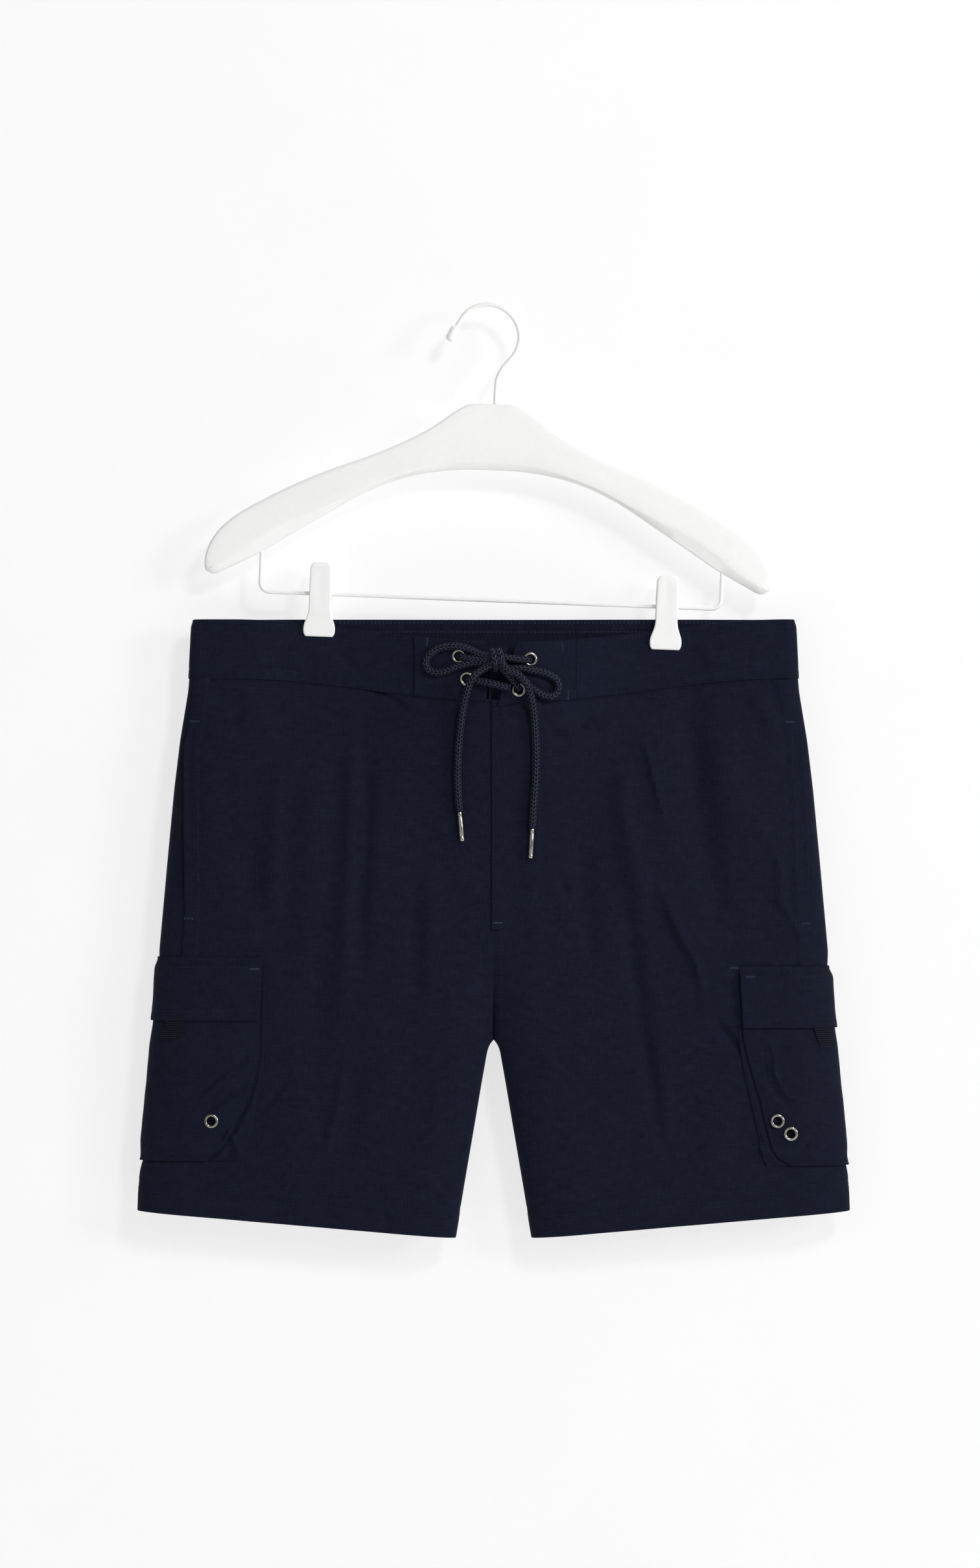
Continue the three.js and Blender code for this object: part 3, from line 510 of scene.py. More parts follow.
def noise(tree, vector, scale, detail, stretch=None):
    if stretch:
        mapping = addNode(tree, "ShaderNodeMapping")
        mapping.inputs["Scale"].default_value = stretch
        tree.links.new(vector, mapping.inputs["Vector"])
        vector = mapping.outputs["Vector"]
    node = addNode(tree, "ShaderNodeTexNoise")
    node.inputs["Scale"].default_value = scale
    node.inputs["Detail"].default_value = detail
    tree.links.new(vector, node.inputs["Vector"])
    return node.outputs["Fac"]


weaveLook = {
    "weftSlub": (110.0, 1100.0, 1.0), "warpSlub": (900.0, 140.0, 1.0), "cloud": (60.0, 170.0, 1.0),
    "slubTone": 0.55, "cloudTone": 0.3, "slubHeight": 1.4,
}
grainLook = {"broad": 0.06, "fineShare": 0.4, "broadShare": 0.6}


# A plain weave with slubs: tone is about 0.5, height is in thread thicknesses
def weaveGroup():
    tree, start, end = newGroup(
        "plainWeave",
        [("Vector", "vector", None), ("Threads per Metre", "float", 2400.0), ("Slubs", "float", 1.0)],
        [("Tone", "float"), ("Height", "float")])
    scaled = addNode(tree, "ShaderNodeVectorMath", operation="SCALE")
    tree.links.new(start.outputs["Vector"], scaled.inputs[0])
    tree.links.new(start.outputs["Threads per Metre"], scaled.inputs["Scale"])
    split = addNode(tree, "ShaderNodeSeparateXYZ")
    tree.links.new(scaled.outputs[0], split.inputs[0])
    threads = [math2(tree, "MULTIPLY", split.outputs[k], math.pi) for k in (0, 1)]
    warp, weft = [math2(tree, "ABSOLUTE", math2(tree, "SINE", turn)) for turn in threads]
    cells = math2(tree, "ADD", *[math2(tree, "FLOOR", split.outputs[k]) for k in (0, 1)])
    over = math2(tree, "FLOORED_MODULO", cells, 2.0)
    under = math2(tree, "SUBTRACT", 1.0, over)
    height = math2(tree, "ADD", math2(tree, "MULTIPLY", warp, over), math2(tree, "MULTIPLY", weft, under))
    vector = start.outputs["Vector"]
    weftSlub = noise(tree, vector, 1.0, 2.0, weaveLook["weftSlub"])
    warpSlub = noise(tree, vector, 1.0, 2.0, weaveLook["warpSlub"])
    cloud = noise(tree, vector, 1.0, 3.0, weaveLook["cloud"])
    slubs = math2(tree, "ADD", weftSlub, warpSlub)
    slubs = math2(tree, "MULTIPLY", math2(tree, "SUBTRACT", slubs, 1.0), start.outputs["Slubs"])
    tone = math2(tree, "MULTIPLY_ADD", slubs, weaveLook["slubTone"], 0.5)
    tone = math2(tree, "MULTIPLY_ADD", math2(tree, "SUBTRACT", cloud, 0.5), weaveLook["cloudTone"], tone)
    height = math2(tree, "MULTIPLY_ADD", slubs, weaveLook["slubHeight"], height)
    tree.links.new(tone, end.inputs["Tone"])
    tree.links.new(height, end.inputs["Height"])
    return tree


# Fine grain for hard pieces: a roughness change and a faint uneven height
def grainGroup():
    tree, start, end = newGroup(
        "fineGrain", [("Vector", "vector", None), ("Scale", "float", 400.0)],
        [("Tone", "float"), ("Height", "float")])
    scaled = addNode(tree, "ShaderNodeVectorMath", operation="SCALE")
    tree.links.new(start.outputs["Vector"], scaled.inputs[0])
    tree.links.new(start.outputs["Scale"], scaled.inputs["Scale"])
    fine = noise(tree, scaled.outputs[0], 1.0, 4.0)
    broad = noise(tree, scaled.outputs[0], grainLook["broad"], 2.0)
    shares = [math2(tree, "MULTIPLY", fine, grainLook["fineShare"]),
              math2(tree, "MULTIPLY", broad, grainLook["broadShare"])]
    tree.links.new(math2(tree, "ADD", *shares), end.inputs["Tone"])
    tree.links.new(fine, end.inputs["Height"])
    return tree


weave = weaveGroup()
grain = grainGroup()


def startMaterial(name, settings):
    material = bpy.data.materials.new(name)
    material.use_nodes = True
    tree = material.node_tree
    shader = tree.nodes["Principled BSDF"]
    for label, value in settings.items():
        shader.inputs[label].default_value = value
    return material, tree, shader


def useGroup(tree, group, **values):
    node = addNode(tree, "ShaderNodeGroup", node_tree=group)
    for label, value in values.items():
        label = label.replace("_", " ")
        if isinstance(value, (int, float)):
            node.inputs[label].default_value = value
        else:
            tree.links.new(value, node.inputs[label])
    return node


def rampTo(tree, shader, tone, dark, light, low, high):
    ramp = addNode(tree, "ShaderNodeValToRGB")
    ramp.color_ramp.elements[0].position = low
    ramp.color_ramp.elements[1].position = high
    ramp.color_ramp.elements[0].color = (*dark, 1)
    ramp.color_ramp.elements[1].color = (*light, 1)
    tree.links.new(tone, ramp.inputs["Fac"])
    tree.links.new(ramp.outputs["Color"], shader.inputs["Base Color"])


def roughen(tree, shader, tone, low, high):
    span = addNode(tree, "ShaderNodeMapRange")
    span.inputs["To Min"].default_value = low
    span.inputs["To Max"].default_value = high
    tree.links.new(tone, span.inputs["Value"])
    tree.links.new(span.outputs["Result"], shader.inputs["Roughness"])


def bump(tree, shader, height, distance):
    node = addNode(tree, "ShaderNodeBump")
    node.inputs["Distance"].default_value = distance
    node.inputs["Strength"].default_value = 1.0
    tree.links.new(height, node.inputs["Height"])
    tree.links.new(node.outputs["Normal"], shader.inputs["Normal"])


clothLook = {
    "dark": (0.0042, 0.0054, 0.0148), "light": (0.0108, 0.0130, 0.0300), "span": (0.25, 0.75),
    "threads": 2400.0, "slubs": 1.0, "rough": (0.55, 0.72), "bump": 0.00008,
}
webbingLook = {
    "dark": (0.0017, 0.0022, 0.0042), "light": (0.0150, 0.0190, 0.0290), "span": (0.1, 0.8),
    "threads": 1500.0, "slubs": 0.4, "rough": (0.55, 0.75), "bump": 0.00015,
    "rib": 0.0016, "ribPaintedShade": 0.36, "weaveTone": 0.9,
}


# Woven cloth by its UV. Webbing has ribs across it, with painted shade between them and a painted highlight
# on top.
def wovenMaterial(name, look):
    material, tree, shader = startMaterial(name, {"Specular IOR Level": 0.06})
    uv = addNode(tree, "ShaderNodeTexCoord").outputs["UV"]
    group = useGroup(tree, weave, Vector=uv, Threads_per_Metre=look["threads"], Slubs=look["slubs"])
    tone = group.outputs["Tone"]
    if "rib" in look:
        # Painted rib shade: a cosine across the webbing darkens between the ribs and lightens their tops
        split = addNode(tree, "ShaderNodeSeparateXYZ")
        tree.links.new(uv, split.inputs[0])
        wave = math2(tree, "MULTIPLY", split.outputs[1], 2 * math.pi / look["rib"])
        wave = math2(tree, "COSINE", wave)
        tone = math2(tree, "MULTIPLY", tone, look["weaveTone"])
        tone = math2(tree, "MULTIPLY_ADD", wave, look["ribPaintedShade"], tone)
    rampTo(tree, shader, tone, look["dark"], look["light"], *look["span"])
    roughen(tree, shader, group.outputs["Tone"], *look["rough"])
    bump(tree, shader, group.outputs["Height"], look["bump"])
    return material


# The braid's dark and light are painted shade in the grooves and painted highlight on the strand crests
braidLook = {
    "dark": (0.0018, 0.0022, 0.0050), "light": (0.048, 0.055, 0.092), "span": (0.1, 0.95),
    "grain": 4200.0, "fibre": 0.5, "rough": (0.55, 0.75), "bump": 0.00006,
    "strands": 8, "lay": 3.0, "relief": 0.34, "level": 0.75, "sunk": 0.06, "endTone": 0.3,
    "sides": 48, "step": 0.45,
}


def braidMaterial():
    look = braidLook
    material, tree, shader = startMaterial("braid", {"Specular IOR Level": 0.08})
    # The tone attribute holds painted highlight on the strand crests and painted shade in the grooves
    tone = addNode(tree, "ShaderNodeAttribute", attribute_name="tone").outputs["Fac"]
    place = addNode(tree, "ShaderNodeTexCoord").outputs["Object"]
    group = useGroup(tree, grain, Vector=place, Scale=look["grain"])
    uneven = math2(tree, "SUBTRACT", group.outputs["Tone"], 0.5)
    uneven = math2(tree, "MULTIPLY_ADD", uneven, look["fibre"], tone)
    rampTo(tree, shader, uneven, look["dark"], look["light"], *look["span"])
    roughen(tree, shader, group.outputs["Tone"], *look["rough"])
    bump(tree, shader, group.outputs["Height"], look["bump"])
    return material


threadLook = {
    "dark": (0.0085, 0.0102, 0.0230), "light": (0.0180, 0.0212, 0.0440), "rough": (0.45, 0.6),
    "grain": 3000.0, "bump": 0.00005, "shader": {"Specular IOR Level": 0.08},
}
# A lighter copy of the thread for the bar tacks: painted sheen on the dense stitching
tackThreadSheenLook = {**threadLook, "dark": (0.022, 0.026, 0.054), "light": (0.046, 0.054, 0.100)}
# A lighter copy of the thread for the rows inside the back waistband: painted light that lifts them out of
# the shade there
insideThreadPaintedLightLook = {**threadLook, "dark": (0.036, 0.041, 0.078), "light": (0.072, 0.080, 0.135)}
metalLook = {
    "dark": (0.22, 0.205, 0.175), "light": (0.55, 0.525, 0.465), "rough": (0.16, 0.34),
    "grain": 1500.0, "bump": 0.00002, "shader": {"Metallic": 1.0},
}
plasticLook = {
    "dark": (0.91, 0.91, 0.90), "light": (0.95, 0.95, 0.94), "rough": (0.42, 0.52),
    "grain": 300.0, "bump": 0.00003, "shader": {"Specular IOR Level": 0.35},
}
wireLook = {
    **plasticLook, "dark": (0.90, 0.90, 0.89), "light": (0.94, 0.94, 0.93), "rough": (0.35, 0.5),
    "grain": 900.0, "bump": 0.00004,
}
floorLook = {
    **plasticLook, "dark": (0.80, 0.80, 0.80), "light": (0.84, 0.84, 0.84), "rough": (0.7, 0.85),
    "grain": 160.0, "bump": 0.0001,
}


# Fine grain by the object's own places, for threads and hard pieces
def grainMaterial(name, look):
    material, tree, shader = startMaterial(name, look["shader"])
    place = addNode(tree, "ShaderNodeTexCoord").outputs["Object"]
    group = useGroup(tree, grain, Vector=place, Scale=look["grain"])
    rampTo(tree, shader, group.outputs["Tone"], look["dark"], look["light"], 0.3, 0.7)
    roughen(tree, shader, group.outputs["Tone"], *look["rough"])
    bump(tree, shader, group.outputs["Height"], look["bump"])
    return material


cloth = wovenMaterial("navyCloth", clothLook)
webbing = wovenMaterial("webbing", webbingLook)
thread = grainMaterial("thread", threadLook)
tackThreadPaintedSheen = grainMaterial("tackThreadPaintedSheen", tackThreadSheenLook)
insideThreadPaintedLight = grainMaterial("insideThreadPaintedLight", insideThreadPaintedLightLook)
braid = braidMaterial()
metal = grainMaterial("nickel", metalLook)
plastic = grainMaterial("hangerPlastic", plasticLook)
coatedWire = grainMaterial("coatedWire", wireLook)
print("materials made")

# Braided lace. Each route has x, z and the lift of its underside from the waistband or the front,
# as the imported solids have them, and the loops run on into the knot.
laceRadius = 2.75
laceRoutes = {
    "lace_loop_right": [
        (-7.6, -259.4, 0.6), (-14.6, -256.1, 0.4), (-20.4, -254.1, 0.3), (-26.7, -253.4, 0.3),
        (-32.5, -253.7, 0.3), (-38.3, -255.1, 0.3), (-43.2, -258, 0.3), (-47, -261.9, 0.3),
        (-48, -265.8, 0.3), (-46.6, -269.7, 0.3), (-43.2, -272.1, 0.3), (-37.3, -272.6, 0.3),
        (-31.5, -271.1, 0.3), (-26.2, -269.2, 0.3), (-20.9, -267.4, 0.4), (-15, -266.2, 0.5),
        (-9.2, -266, 0.6),
    ],
    "lace_loop_left": [
        (15, -270.2, 2.6), (19.4, -270, 2.6), (25, -270.2, 2.5), (33.5, -271.6, 2.3),
        (39.3, -272.8, 2), (43.8, -274.4, 1.8), (48.2, -277.2, 1.5), (50.4, -281.3, 1.2),
        (50.2, -286, 1.1), (47.9, -289.3, 1.1), (44.3, -290.7, 1.3), (40.3, -290, 1.6),
        (36.4, -288.4, 2), (30.6, -284.5, 2.4), (26, -280.2, 2.6), (21.8, -277.4, 2.6),
    ],
    "lace_crossing": [
        (-11.2, -278.6, 0.4), (-6.3, -279.5, 0.8), (0, -281, 2.6), (7.8, -282.8, 2.6),
        (14.8, -284.4, 2.6),
    ],
    "lace_tail_right": [
        (-6.6, -271.4, 5), (-10.6, -274.2, 6.6), (-14.6, -279.6, 6.8), (-17.6, -288.4, 5),
        (-20.4, -301.2, 2), (-22.8, -320.6, 0.6), (-23.8, -332.7, 0.5), (-24.3, -351.1, 0.5),
        (-23.8, -364.5, 0.5), (-22.8, -375.9, 0.5),
    ],
    "lace_tail_left": [
        (13.4, -271.8, 9.1), (17, -273, 9.1), (21.6, -275.4, 9.1), (26.7, -281.8, 8.9),
        (30.6, -292.5, 6), (32.5, -304.6, 3), (33.5, -320.6, 1.8), (33.8, -332.7, 1.7),
        (33.5, -351.1, 1.7), (32, -371, 1.7), (31, -388.5, 1.7),
    ],
}
# The stretches by which the loops and tails run on into the knot, before and after each route
intoKnot = {
    "lace_loop_right": ([(6, -263, 3.4), (1, -261.2, 1.8)], [(-3, -265.8, 1.4), (4, -265, 2.6)]),
    "lace_loop_left": ([(3, -264.5, 3.2), (9, -268.6, 2.8)], [(15.5, -273.4, 3.2), (8, -268, 3.6)]),
    "lace_crossing": ([(-17.3, -277.6, -4.5), (-15, -278, -0.6)], []),
    "lace_tail_right": ([(6.5, -263.6, 5.4), (0.5, -267.2, 5)], []),
    "lace_tail_left": ([(3.5, -262.6, 5.4), (8.4, -266.4, 8)], []),
}
# The knot: two turns round the middle, and the strands that go down into the eyelets
knotStrands = [
    [(1.4, -257.4, 1), (2, -259, 4.6), (2.8, -262, 7.4), (3.6, -265.6, 7.8), (4, -268.6, 5.6),
     (4, -270.4, 1)],
    [(6.2, -257.2, 1), (6.8, -258.6, 4.4), (7.6, -261.4, 7), (8.4, -264.8, 7.4), (8.8, -267.6, 5.4),
     (8.8, -269.6, 1)],
    [(3, -261.6, 3.4), (10, -262.2, 3.8), (16.5, -262.9, 3.4), (22, -263.4, 3), (26, -263.6, 1.2),
     (28.8, -263.6, -2.4), (29.6, -263.4, -6)],
    [(5.8, -266.4, 4), (9, -270, 4.6), (13, -274.4, 4.4), (17, -279, 3.6), (19.4, -282.6, 1.6),
     (20.8, -285, -1.6), (21, -286, -5)],
    [(-23.8, -260.9, -5), (-22.4, -261.2, -1.6), (-18, -262, 0.2), (-10, -263.4, 1.2), (0, -264, 2.2)],
]


def laceLine(route):
    x, z, lift = np.array(route, float).T
    depth = clothDepth(x, z, False) + form["seamGap"] / 2
    return curveThrough(np.stack([x, -(depth + lift + laceRadius), z], -1), braidLook["step"])


# Two sets of strands wind opposite ways in columns of V shapes: gives height, and a tone that is painted
# highlight on strand crests and on strands lying on top, and painted shade in the grooves and under them
def braidHeightAndPaintedShade(angle, distance):
    around = braidLook["strands"] * angle / (2 * math.pi)
    a = around + distance / braidLook["lay"]
    b = around - distance / braidLook["lay"]
    column = np.mod(a + b, 4)
    strand = np.sin(np.where(column < 2, np.mod(a, 1), np.mod(b, 1)) * math.pi)
    over = np.sin(np.mod(column, 2) / 2 * math.pi)
    return strand ** 0.7 * (0.4 + 0.6 * over), strand ** 2 * (0.15 + 0.85 * over)


def braidRelief(angle, distance):
    return (braidHeightAndPaintedShade(angle, distance)[0] - braidLook["level"]) * braidLook["relief"]


def lacePart(line):
    count = braidLook["sides"]
    part = tube(line, laceRadius - braidLook["sunk"], count, braidRelief)
    angle = np.arange(count) / count * 2 * math.pi
    # Tone per point: painted highlight on strand crests and top strands, painted shade in the grooves
    tone = [braidHeightAndPaintedShade(angle, distance)[1] for distance in distances(line)]
    return part, np.concatenate([*tone, 2 * [braidLook["endTone"]]])


def lacePiece(name, lines):
    parts = [lacePart(line) for line in lines]
    vertices, faces, uv = stacked([part for part, _ in parts])
    piece = newObject(name, vertices, faces, braid, uv, 70)
    attribute = piece.data.attributes.new("tone", "FLOAT", "POINT")
    attribute.data.foreach_set("value", np.concatenate([tone for _, tone in parts]))
    return finishHard(piece, "braid", name)


lacePieces = {}
for laceName, route in laceRoutes.items():
    before, after = intoKnot[laceName]
    line = laceLine(before + route + after)
    lacePieces[laceName] = (lacePiece(laceName, [line]), line)
knotPiece = lacePiece("lace_knot", [laceLine(strand) for strand in knotStrands])
print("lace made")

# Metal tips of the lace
agletLook = {"radius": 1.85, "length": 22.0, "gap": 0.3, "crimps": (3.2, 18.6), "crimpDepth": 0.22}
for sideName in ("right", "left"):
    tip = lacePieces[f"lace_tail_{sideName}"][1]
    down = tip[-1] - tip[-3]
    down = down / np.linalg.norm(down)
    length, radius = agletLook["length"], agletLook["radius"]
    profile = [(0.02, 0), (radius * 0.86, 0.0), (radius, 0.35)]
    for crimp in agletLook["crimps"]:
        for offset, share in ((-0.9, 0), (-0.45, 0.8), (0, 1), (0.45, 0.8), (0.9, 0)):
            profile.append((radius - agletLook["crimpDepth"] * share, crimp + offset))
    profile += [(radius, length - 0.8), (radius * 0.8, length - 0.2), (0.02, length)]
    aglet = joined(f"aglet_{sideName}", [turned(profile, tip[-1] + down * agletLook["gap"], down, 32)], metal)
    finishHard(aglet, "nickel", f"aglet_{sideName}")

# Each run's length is measured against the shortest cord, but nothing is done with it
shortestCord = 0.034
for laceName, (piece, line) in lacePieces.items():
    length = float(distances(line)[-1]) * mm
    if length < shortestCord:
        continue

# Creases of the leg panels: rise, width, then places as (x, z)
frontCreases = [
    (-0.7, 2.2, [(-194, -312), (-182, -297)]),
    (-0.9, 2.6, [(-95, -281), (-84, -286), (-71, -294), (-57, -304)]),
    (1.0, 5.0, [(-100, -304), (-103, -354), (-106, -435), (-111, -524)]),
    (-1.1, 5.0, [(-93, -321), (-93, -395), (-96, -447), (-97, -515)]),
    (0.5, 1.7, [(-95, -366), (-95, -395), (-97, -427)]),
    (-0.8, 8.0, [(-119, -366), (-121, -435), (-127, -516), (-137, -567)]),
    (-0.8, 6.0, [(-177, -394), (-177, -445)]),
    (0.7, 5.0, [(-158, -340), (-160, -400), (-163, -470)]),
    (0.5, 5.0, [(-46, -425), (-45, -524)]),
    (-0.5, 5.0, [(-57, -425), (-55, -524)]),
    (-0.5, 2.0, [(-240, -445), (-230, -443)]),
    (-0.6, 1.8, [(-176, -601), (-167, -596), (-159, -586), (-150, -574)]),
    (0.5, 2.5, [(-109, -557), (-111, -580), (-114, -598), (-120, -618), (-121, -638)]),
    (-0.5, 6.0, [(-100, -560), (-102, -600), (-106, -640)]),
    (-0.5, 2.0, [(-79, -673), (-76, -685)]),
    (-0.8, 2.0, [(65, -307), (69, -312), (74, -308), (81, -314), (86, -307)]),
    (1.2, 6.0, [(93, -326), (99, -344), (99, -374), (105, -407), (111, -435), (115, -465)]),
    (0.9, 1.9, [(111, -318), (117, -334), (123, -360), (131, -388)]),
    (1.0, 3.0, [(126, -435), (133, -449), (141, -468), (153, -489), (160, -522)]),
    (-1.1, 5.0, [(97, -431), (101, -455), (106, -491), (114, -548), (121, -580), (131, -638)]),
    (0.6, 4.0, [(120, -539), (127, -580), (132, -622)]),
    (-1.4, 8.0, [(143, -293), (151, -324), (153, -354), (160, -404), (167, -435), (179, -475)]),
    (1.2, 12.0, [(165, -320), (180, -370), (200, -415)]),
    (0.8, 2.5, [(206, -401), (213, -409), (216, -427), (214, -441), (224, -457), (232, -473)]),
    (0.5, 3.0, [(194, -378), (204, -395)]),
    (0.8, 5.0, [(194, -288), (206, -304), (216, -320)]),
    (-0.7, 2.0, [(42, -316), (58, -318)]),
    (-0.5, 2.0, [(18, -471), (32, -465)]),
    (-0.6, 3.0, [(52, -425), (58, -441)]),
    (-0.7, 6.0, [(66, -390), (70, -440), (76, -500)]),
    (-1.1, 3.0, [(167, -531), (173, -539), (183, -550), (192, -557)]),
]
backCreases = [
    (1.0, 5.0, [(-96, -300), (-100, -360), (-104, -430)]),
    (-1.0, 6.0, [(-84, -310), (-88, -380), (-92, -450)]),
    (0.8, 2.4, [(-150, -430), (-140, -470), (-126, -500)]),
    (-0.8, 4.0, [(-170, -520), (-158, -560), (-150, -610)]),
    (-0.9, 3.0, [(60, -292), (74, -302), (90, -306)]),
    (1.1, 6.0, [(118, -318), (124, -380), (134, -450), (140, -490)]),
    (-1.2, 7.0, [(150, -300), (158, -370), (166, -440)]),
    (0.7, 2.2, [(34, -470), (52, -500), (80, -520)]),
    (-0.7, 3.0, [(-34, -476), (-56, -506), (-84, -520)]),
    (0.6, 4.0, [(110, -560), (118, -610), (120, -660)]),
    (-0.6, 5.0, [(196, -330), (200, -390), (198, -440)]),
    (0.6, 5.0, [(-200, -320), (-204, -380), (-200, -450)]),
]

# Slash pockets: the places of the seam line as (z, x), and how the welt rises along it
welts = {
    "right": [(-277.4, -220.7), (-309.9, -223.6), (-327.9, -227.5), (-455.4, -227.0), (-484, -228.9)],
    "left": [(-279, 222.6), (-306.5, 228.4), (-316.2, 231.3), (-384.1, 235.2), (-438, 236.2),
             (-459.3, 237.7), (-490.5, 239.1)],
}
weltLook = {
    "width": 12.5, "rise": 0.8, "fallFrom": 8.6, "fallWidth": 3.4,
    "gape": 1.5, "gapeWidth": 2.6, "gapeShare": 0.8,
    "dip": 1.7, "dipWidth": 2.0, "mouth": (-311.0, -457.0), "row": 7.5, "rowDepth": 0.14, "rowWidth": 0.8,
    "ease": 0.3, "easeWidth": 0.6, "over": 0.12, "under": 0.15,
}
flyLook = {
    "edge": 0.7, "top": -293.5, "out": 1.1, "fall": 3.2, "dip": 0.7, "dipWidth": 1.9, "dipFoot": -468,
    "row": 1.6, "rowDepth": 0.13, "rowWidth": 0.6, "over": 0.1, "under": 0.2,
    "rows": [(-293, 38), (-330, 38.3), (-413, 38.3), (-435, 35.9), (-445, 32.6), (-452.5, 28),
             (-459, 20.5), (-463.7, 9.5)],
}

panelLook = {
    "thick": 0.5, "cell": {"front": 2.2, "back": 2.9}, "roundColumns": 18,
    "spans": (170, 256, 106, 54),     # across the flat part, above the crotch, below it, near the hem
    "crease": 2.6, "creaseWidth": 1.35, "widerFrom": 3, "rippleHeight": 0.22, "fineHeight": 0.05,
    "puckerHeight": 0.22, "puckerReach": 9.0,
    "sideFade": 26, "seamDip": 0.35, "seamWidth": 1.8, "grooveDepth": 0.9, "grooveWidth": 1.0,
    "hemStep": 0.35, "hemFold": 0.3, "hemRise": 19.0, "hemSlope": 2.4, "hemRows": (22.3, 15.6),
    "rowDepth": 0.22, "rowWidth": 1.1, "rim": 0.3, "rimHeight": 0.9,
}


# Fixed seeds of the small waves. The band's puckers use the panel's seeds, so they run on across the seam.
clothSeeds = {
    "front": {"waves": 5, "fine": 17, "pucker": 29, "band": 41},
    "back": {"waves": 11, "fine": 23, "pucker": 31, "band": 43},
}


def hemFoot(reach, z):
    width = outerAt(z) - innerAt(z)
    return mix(form["hemOuterZ"], form["hemInnerZ"], clamp(np.abs(reach) / width))


def panelRelief(x, z, back):
    hanging = [(rise, width * (panelLook["creaseWidth"] if width > panelLook["widerFrom"] else 1), points)
               for rise, width, points in (backCreases if back else frontCreases)]
    creases = panelLook["crease"] * creaseAt(x, z, hanging)
    seeds = clothSeeds["back" if back else "front"]
    waves = ripples(x, z, seeds["waves"], panelLook["rippleHeight"], 75, 18)
    fine = ripples(x, z, seeds["fine"], panelLook["fineHeight"], 16, 7, 0.3)
    bandFoot = form["waistTop"] - form["bandHeight"] - (0 if back else sag(x))
    below = np.maximum(0, bandFoot - z)
    pucker = ripples(x, z, seeds["pucker"], panelLook["puckerHeight"], 13, 5, 0.95)
    near = np.exp(-below / panelLook["puckerReach"])
    return creases + waves * smooth(below / 25) + fine + pucker * near - (0 if back else seamGrooves(x, z))


# The laced ends of the waistband: the left one laps over the right one and droops at its edge
endTab = {
    "rightFrom": -56.0, "rightTo": -1.0, "leftTo": 62.8, "leftTopEdge": 18.9, "leftFootEdge": 3.4,
    "lap": (-1.5, 21.0, -253.6, -294.5), "lapOut": 0.1, "lapIn": -1.7, "lapEdge": 0.7,
    "rise": 2.1, "fallStart": 20.0, "fallEnd": 58.0,
    "droop": 3.4, "droopReach": 23.0, "gapDepth": 3.2, "gapWidth": 2.6, "rightStep": 1.0, "rightFade": 9,
}


def tabDroop(x):
    return endTab["droop"] * (1 - smooth((x - endTab["leftFootEdge"]) / endTab["droopReach"]))


# The crisp line under the foot of the front waistband
def bandGroove(x, z):
    foot = form["waistTop"] - sag(x) - form["bandHeight"] - np.where(x > 3, tabDroop(x), 0)
    return panelLook["grooveDepth"] * ridge(z - foot + 0.8, panelLook["grooveWidth"])


# The panel dips beside the fly's edge and where each slash pocket opens
def seamGrooves(x, z):
    beside = ridge(x - flyLook["edge"] + 1.6, flyLook["dipWidth"]) * (x < flyLook["edge"] + 1.5)
    dip = flyLook["dip"] * beside * smooth((z - flyLook["dipFoot"]) / 8)
    for sideName, seam in welts.items():
        outside = sides[sideName] * (x - byHeight(seam, 1, 3)(z))
        gape = ridge(outside - 1.0, weltLook["dipWidth"]) * pocketOpen(z)
        dip = dip + weltLook["dip"] * gape * (outside > -3)
    return dip


def pocketOpen(z):
    top, foot = weltLook["mouth"]
    return smooth((top + 6 - z) / 24) * smooth((z - foot) / 30)


def panelGrid(side, face):
    cell = panelLook["cell"][face]
    count = panelLook["roundColumns"]
    flat, aboveCount, belowCount, hemCount = [int(round(span / cell)) for span in panelLook["spans"]]
    columns = count + flat + count
    top = form["waistTop"] - form["bandHeight"] + 1.5
    j = np.arange(columns + 1)

    def place(z):
        width = outerAt(z) - innerAt(z)
        rounding = sideRound(z)
        nearSide = rounding * (1 - np.cos(clamp(j / count) * math.pi / 2))
        middle = mix(rounding, width - form["inseamRound"], (j - count) / flat)
        nearInseam = width - form["inseamRound"] * (1 - np.cos(clamp((columns - j) / count) * math.pi / 2))
        return np.where(j <= count, nearSide, np.where(j <= count + flat, middle, nearInseam))

    guess = form["centreX"] + side * (outerAt(-290) - place(-290.0 + 0 * j))
    topLine = top - (sag(guess) if face == "front" else 0 * guess)
    above = np.concatenate([np.linspace(0, 0.04, 13)[:-1], np.linspace(0.04, 1, aboveCount)])
    nearHem = np.concatenate([np.linspace(0.8, 0.985, hemCount), [0.991, 0.996, 1.0]])
    below = np.concatenate([np.linspace(0, 0.8, belowCount)[1:-1], nearHem])
    footLine = hemFoot(place(-680.0 + 0 * j), -680)
    z = np.vstack([mix(topLine, form["crotchZ"], f) for f in above]
                  + [mix(form["crotchZ"], footLine, f) for f in below])
    reach = np.vstack([place(row) for row in z])
    return np.maximum(reach, 1e-4), z, len(above), footLine


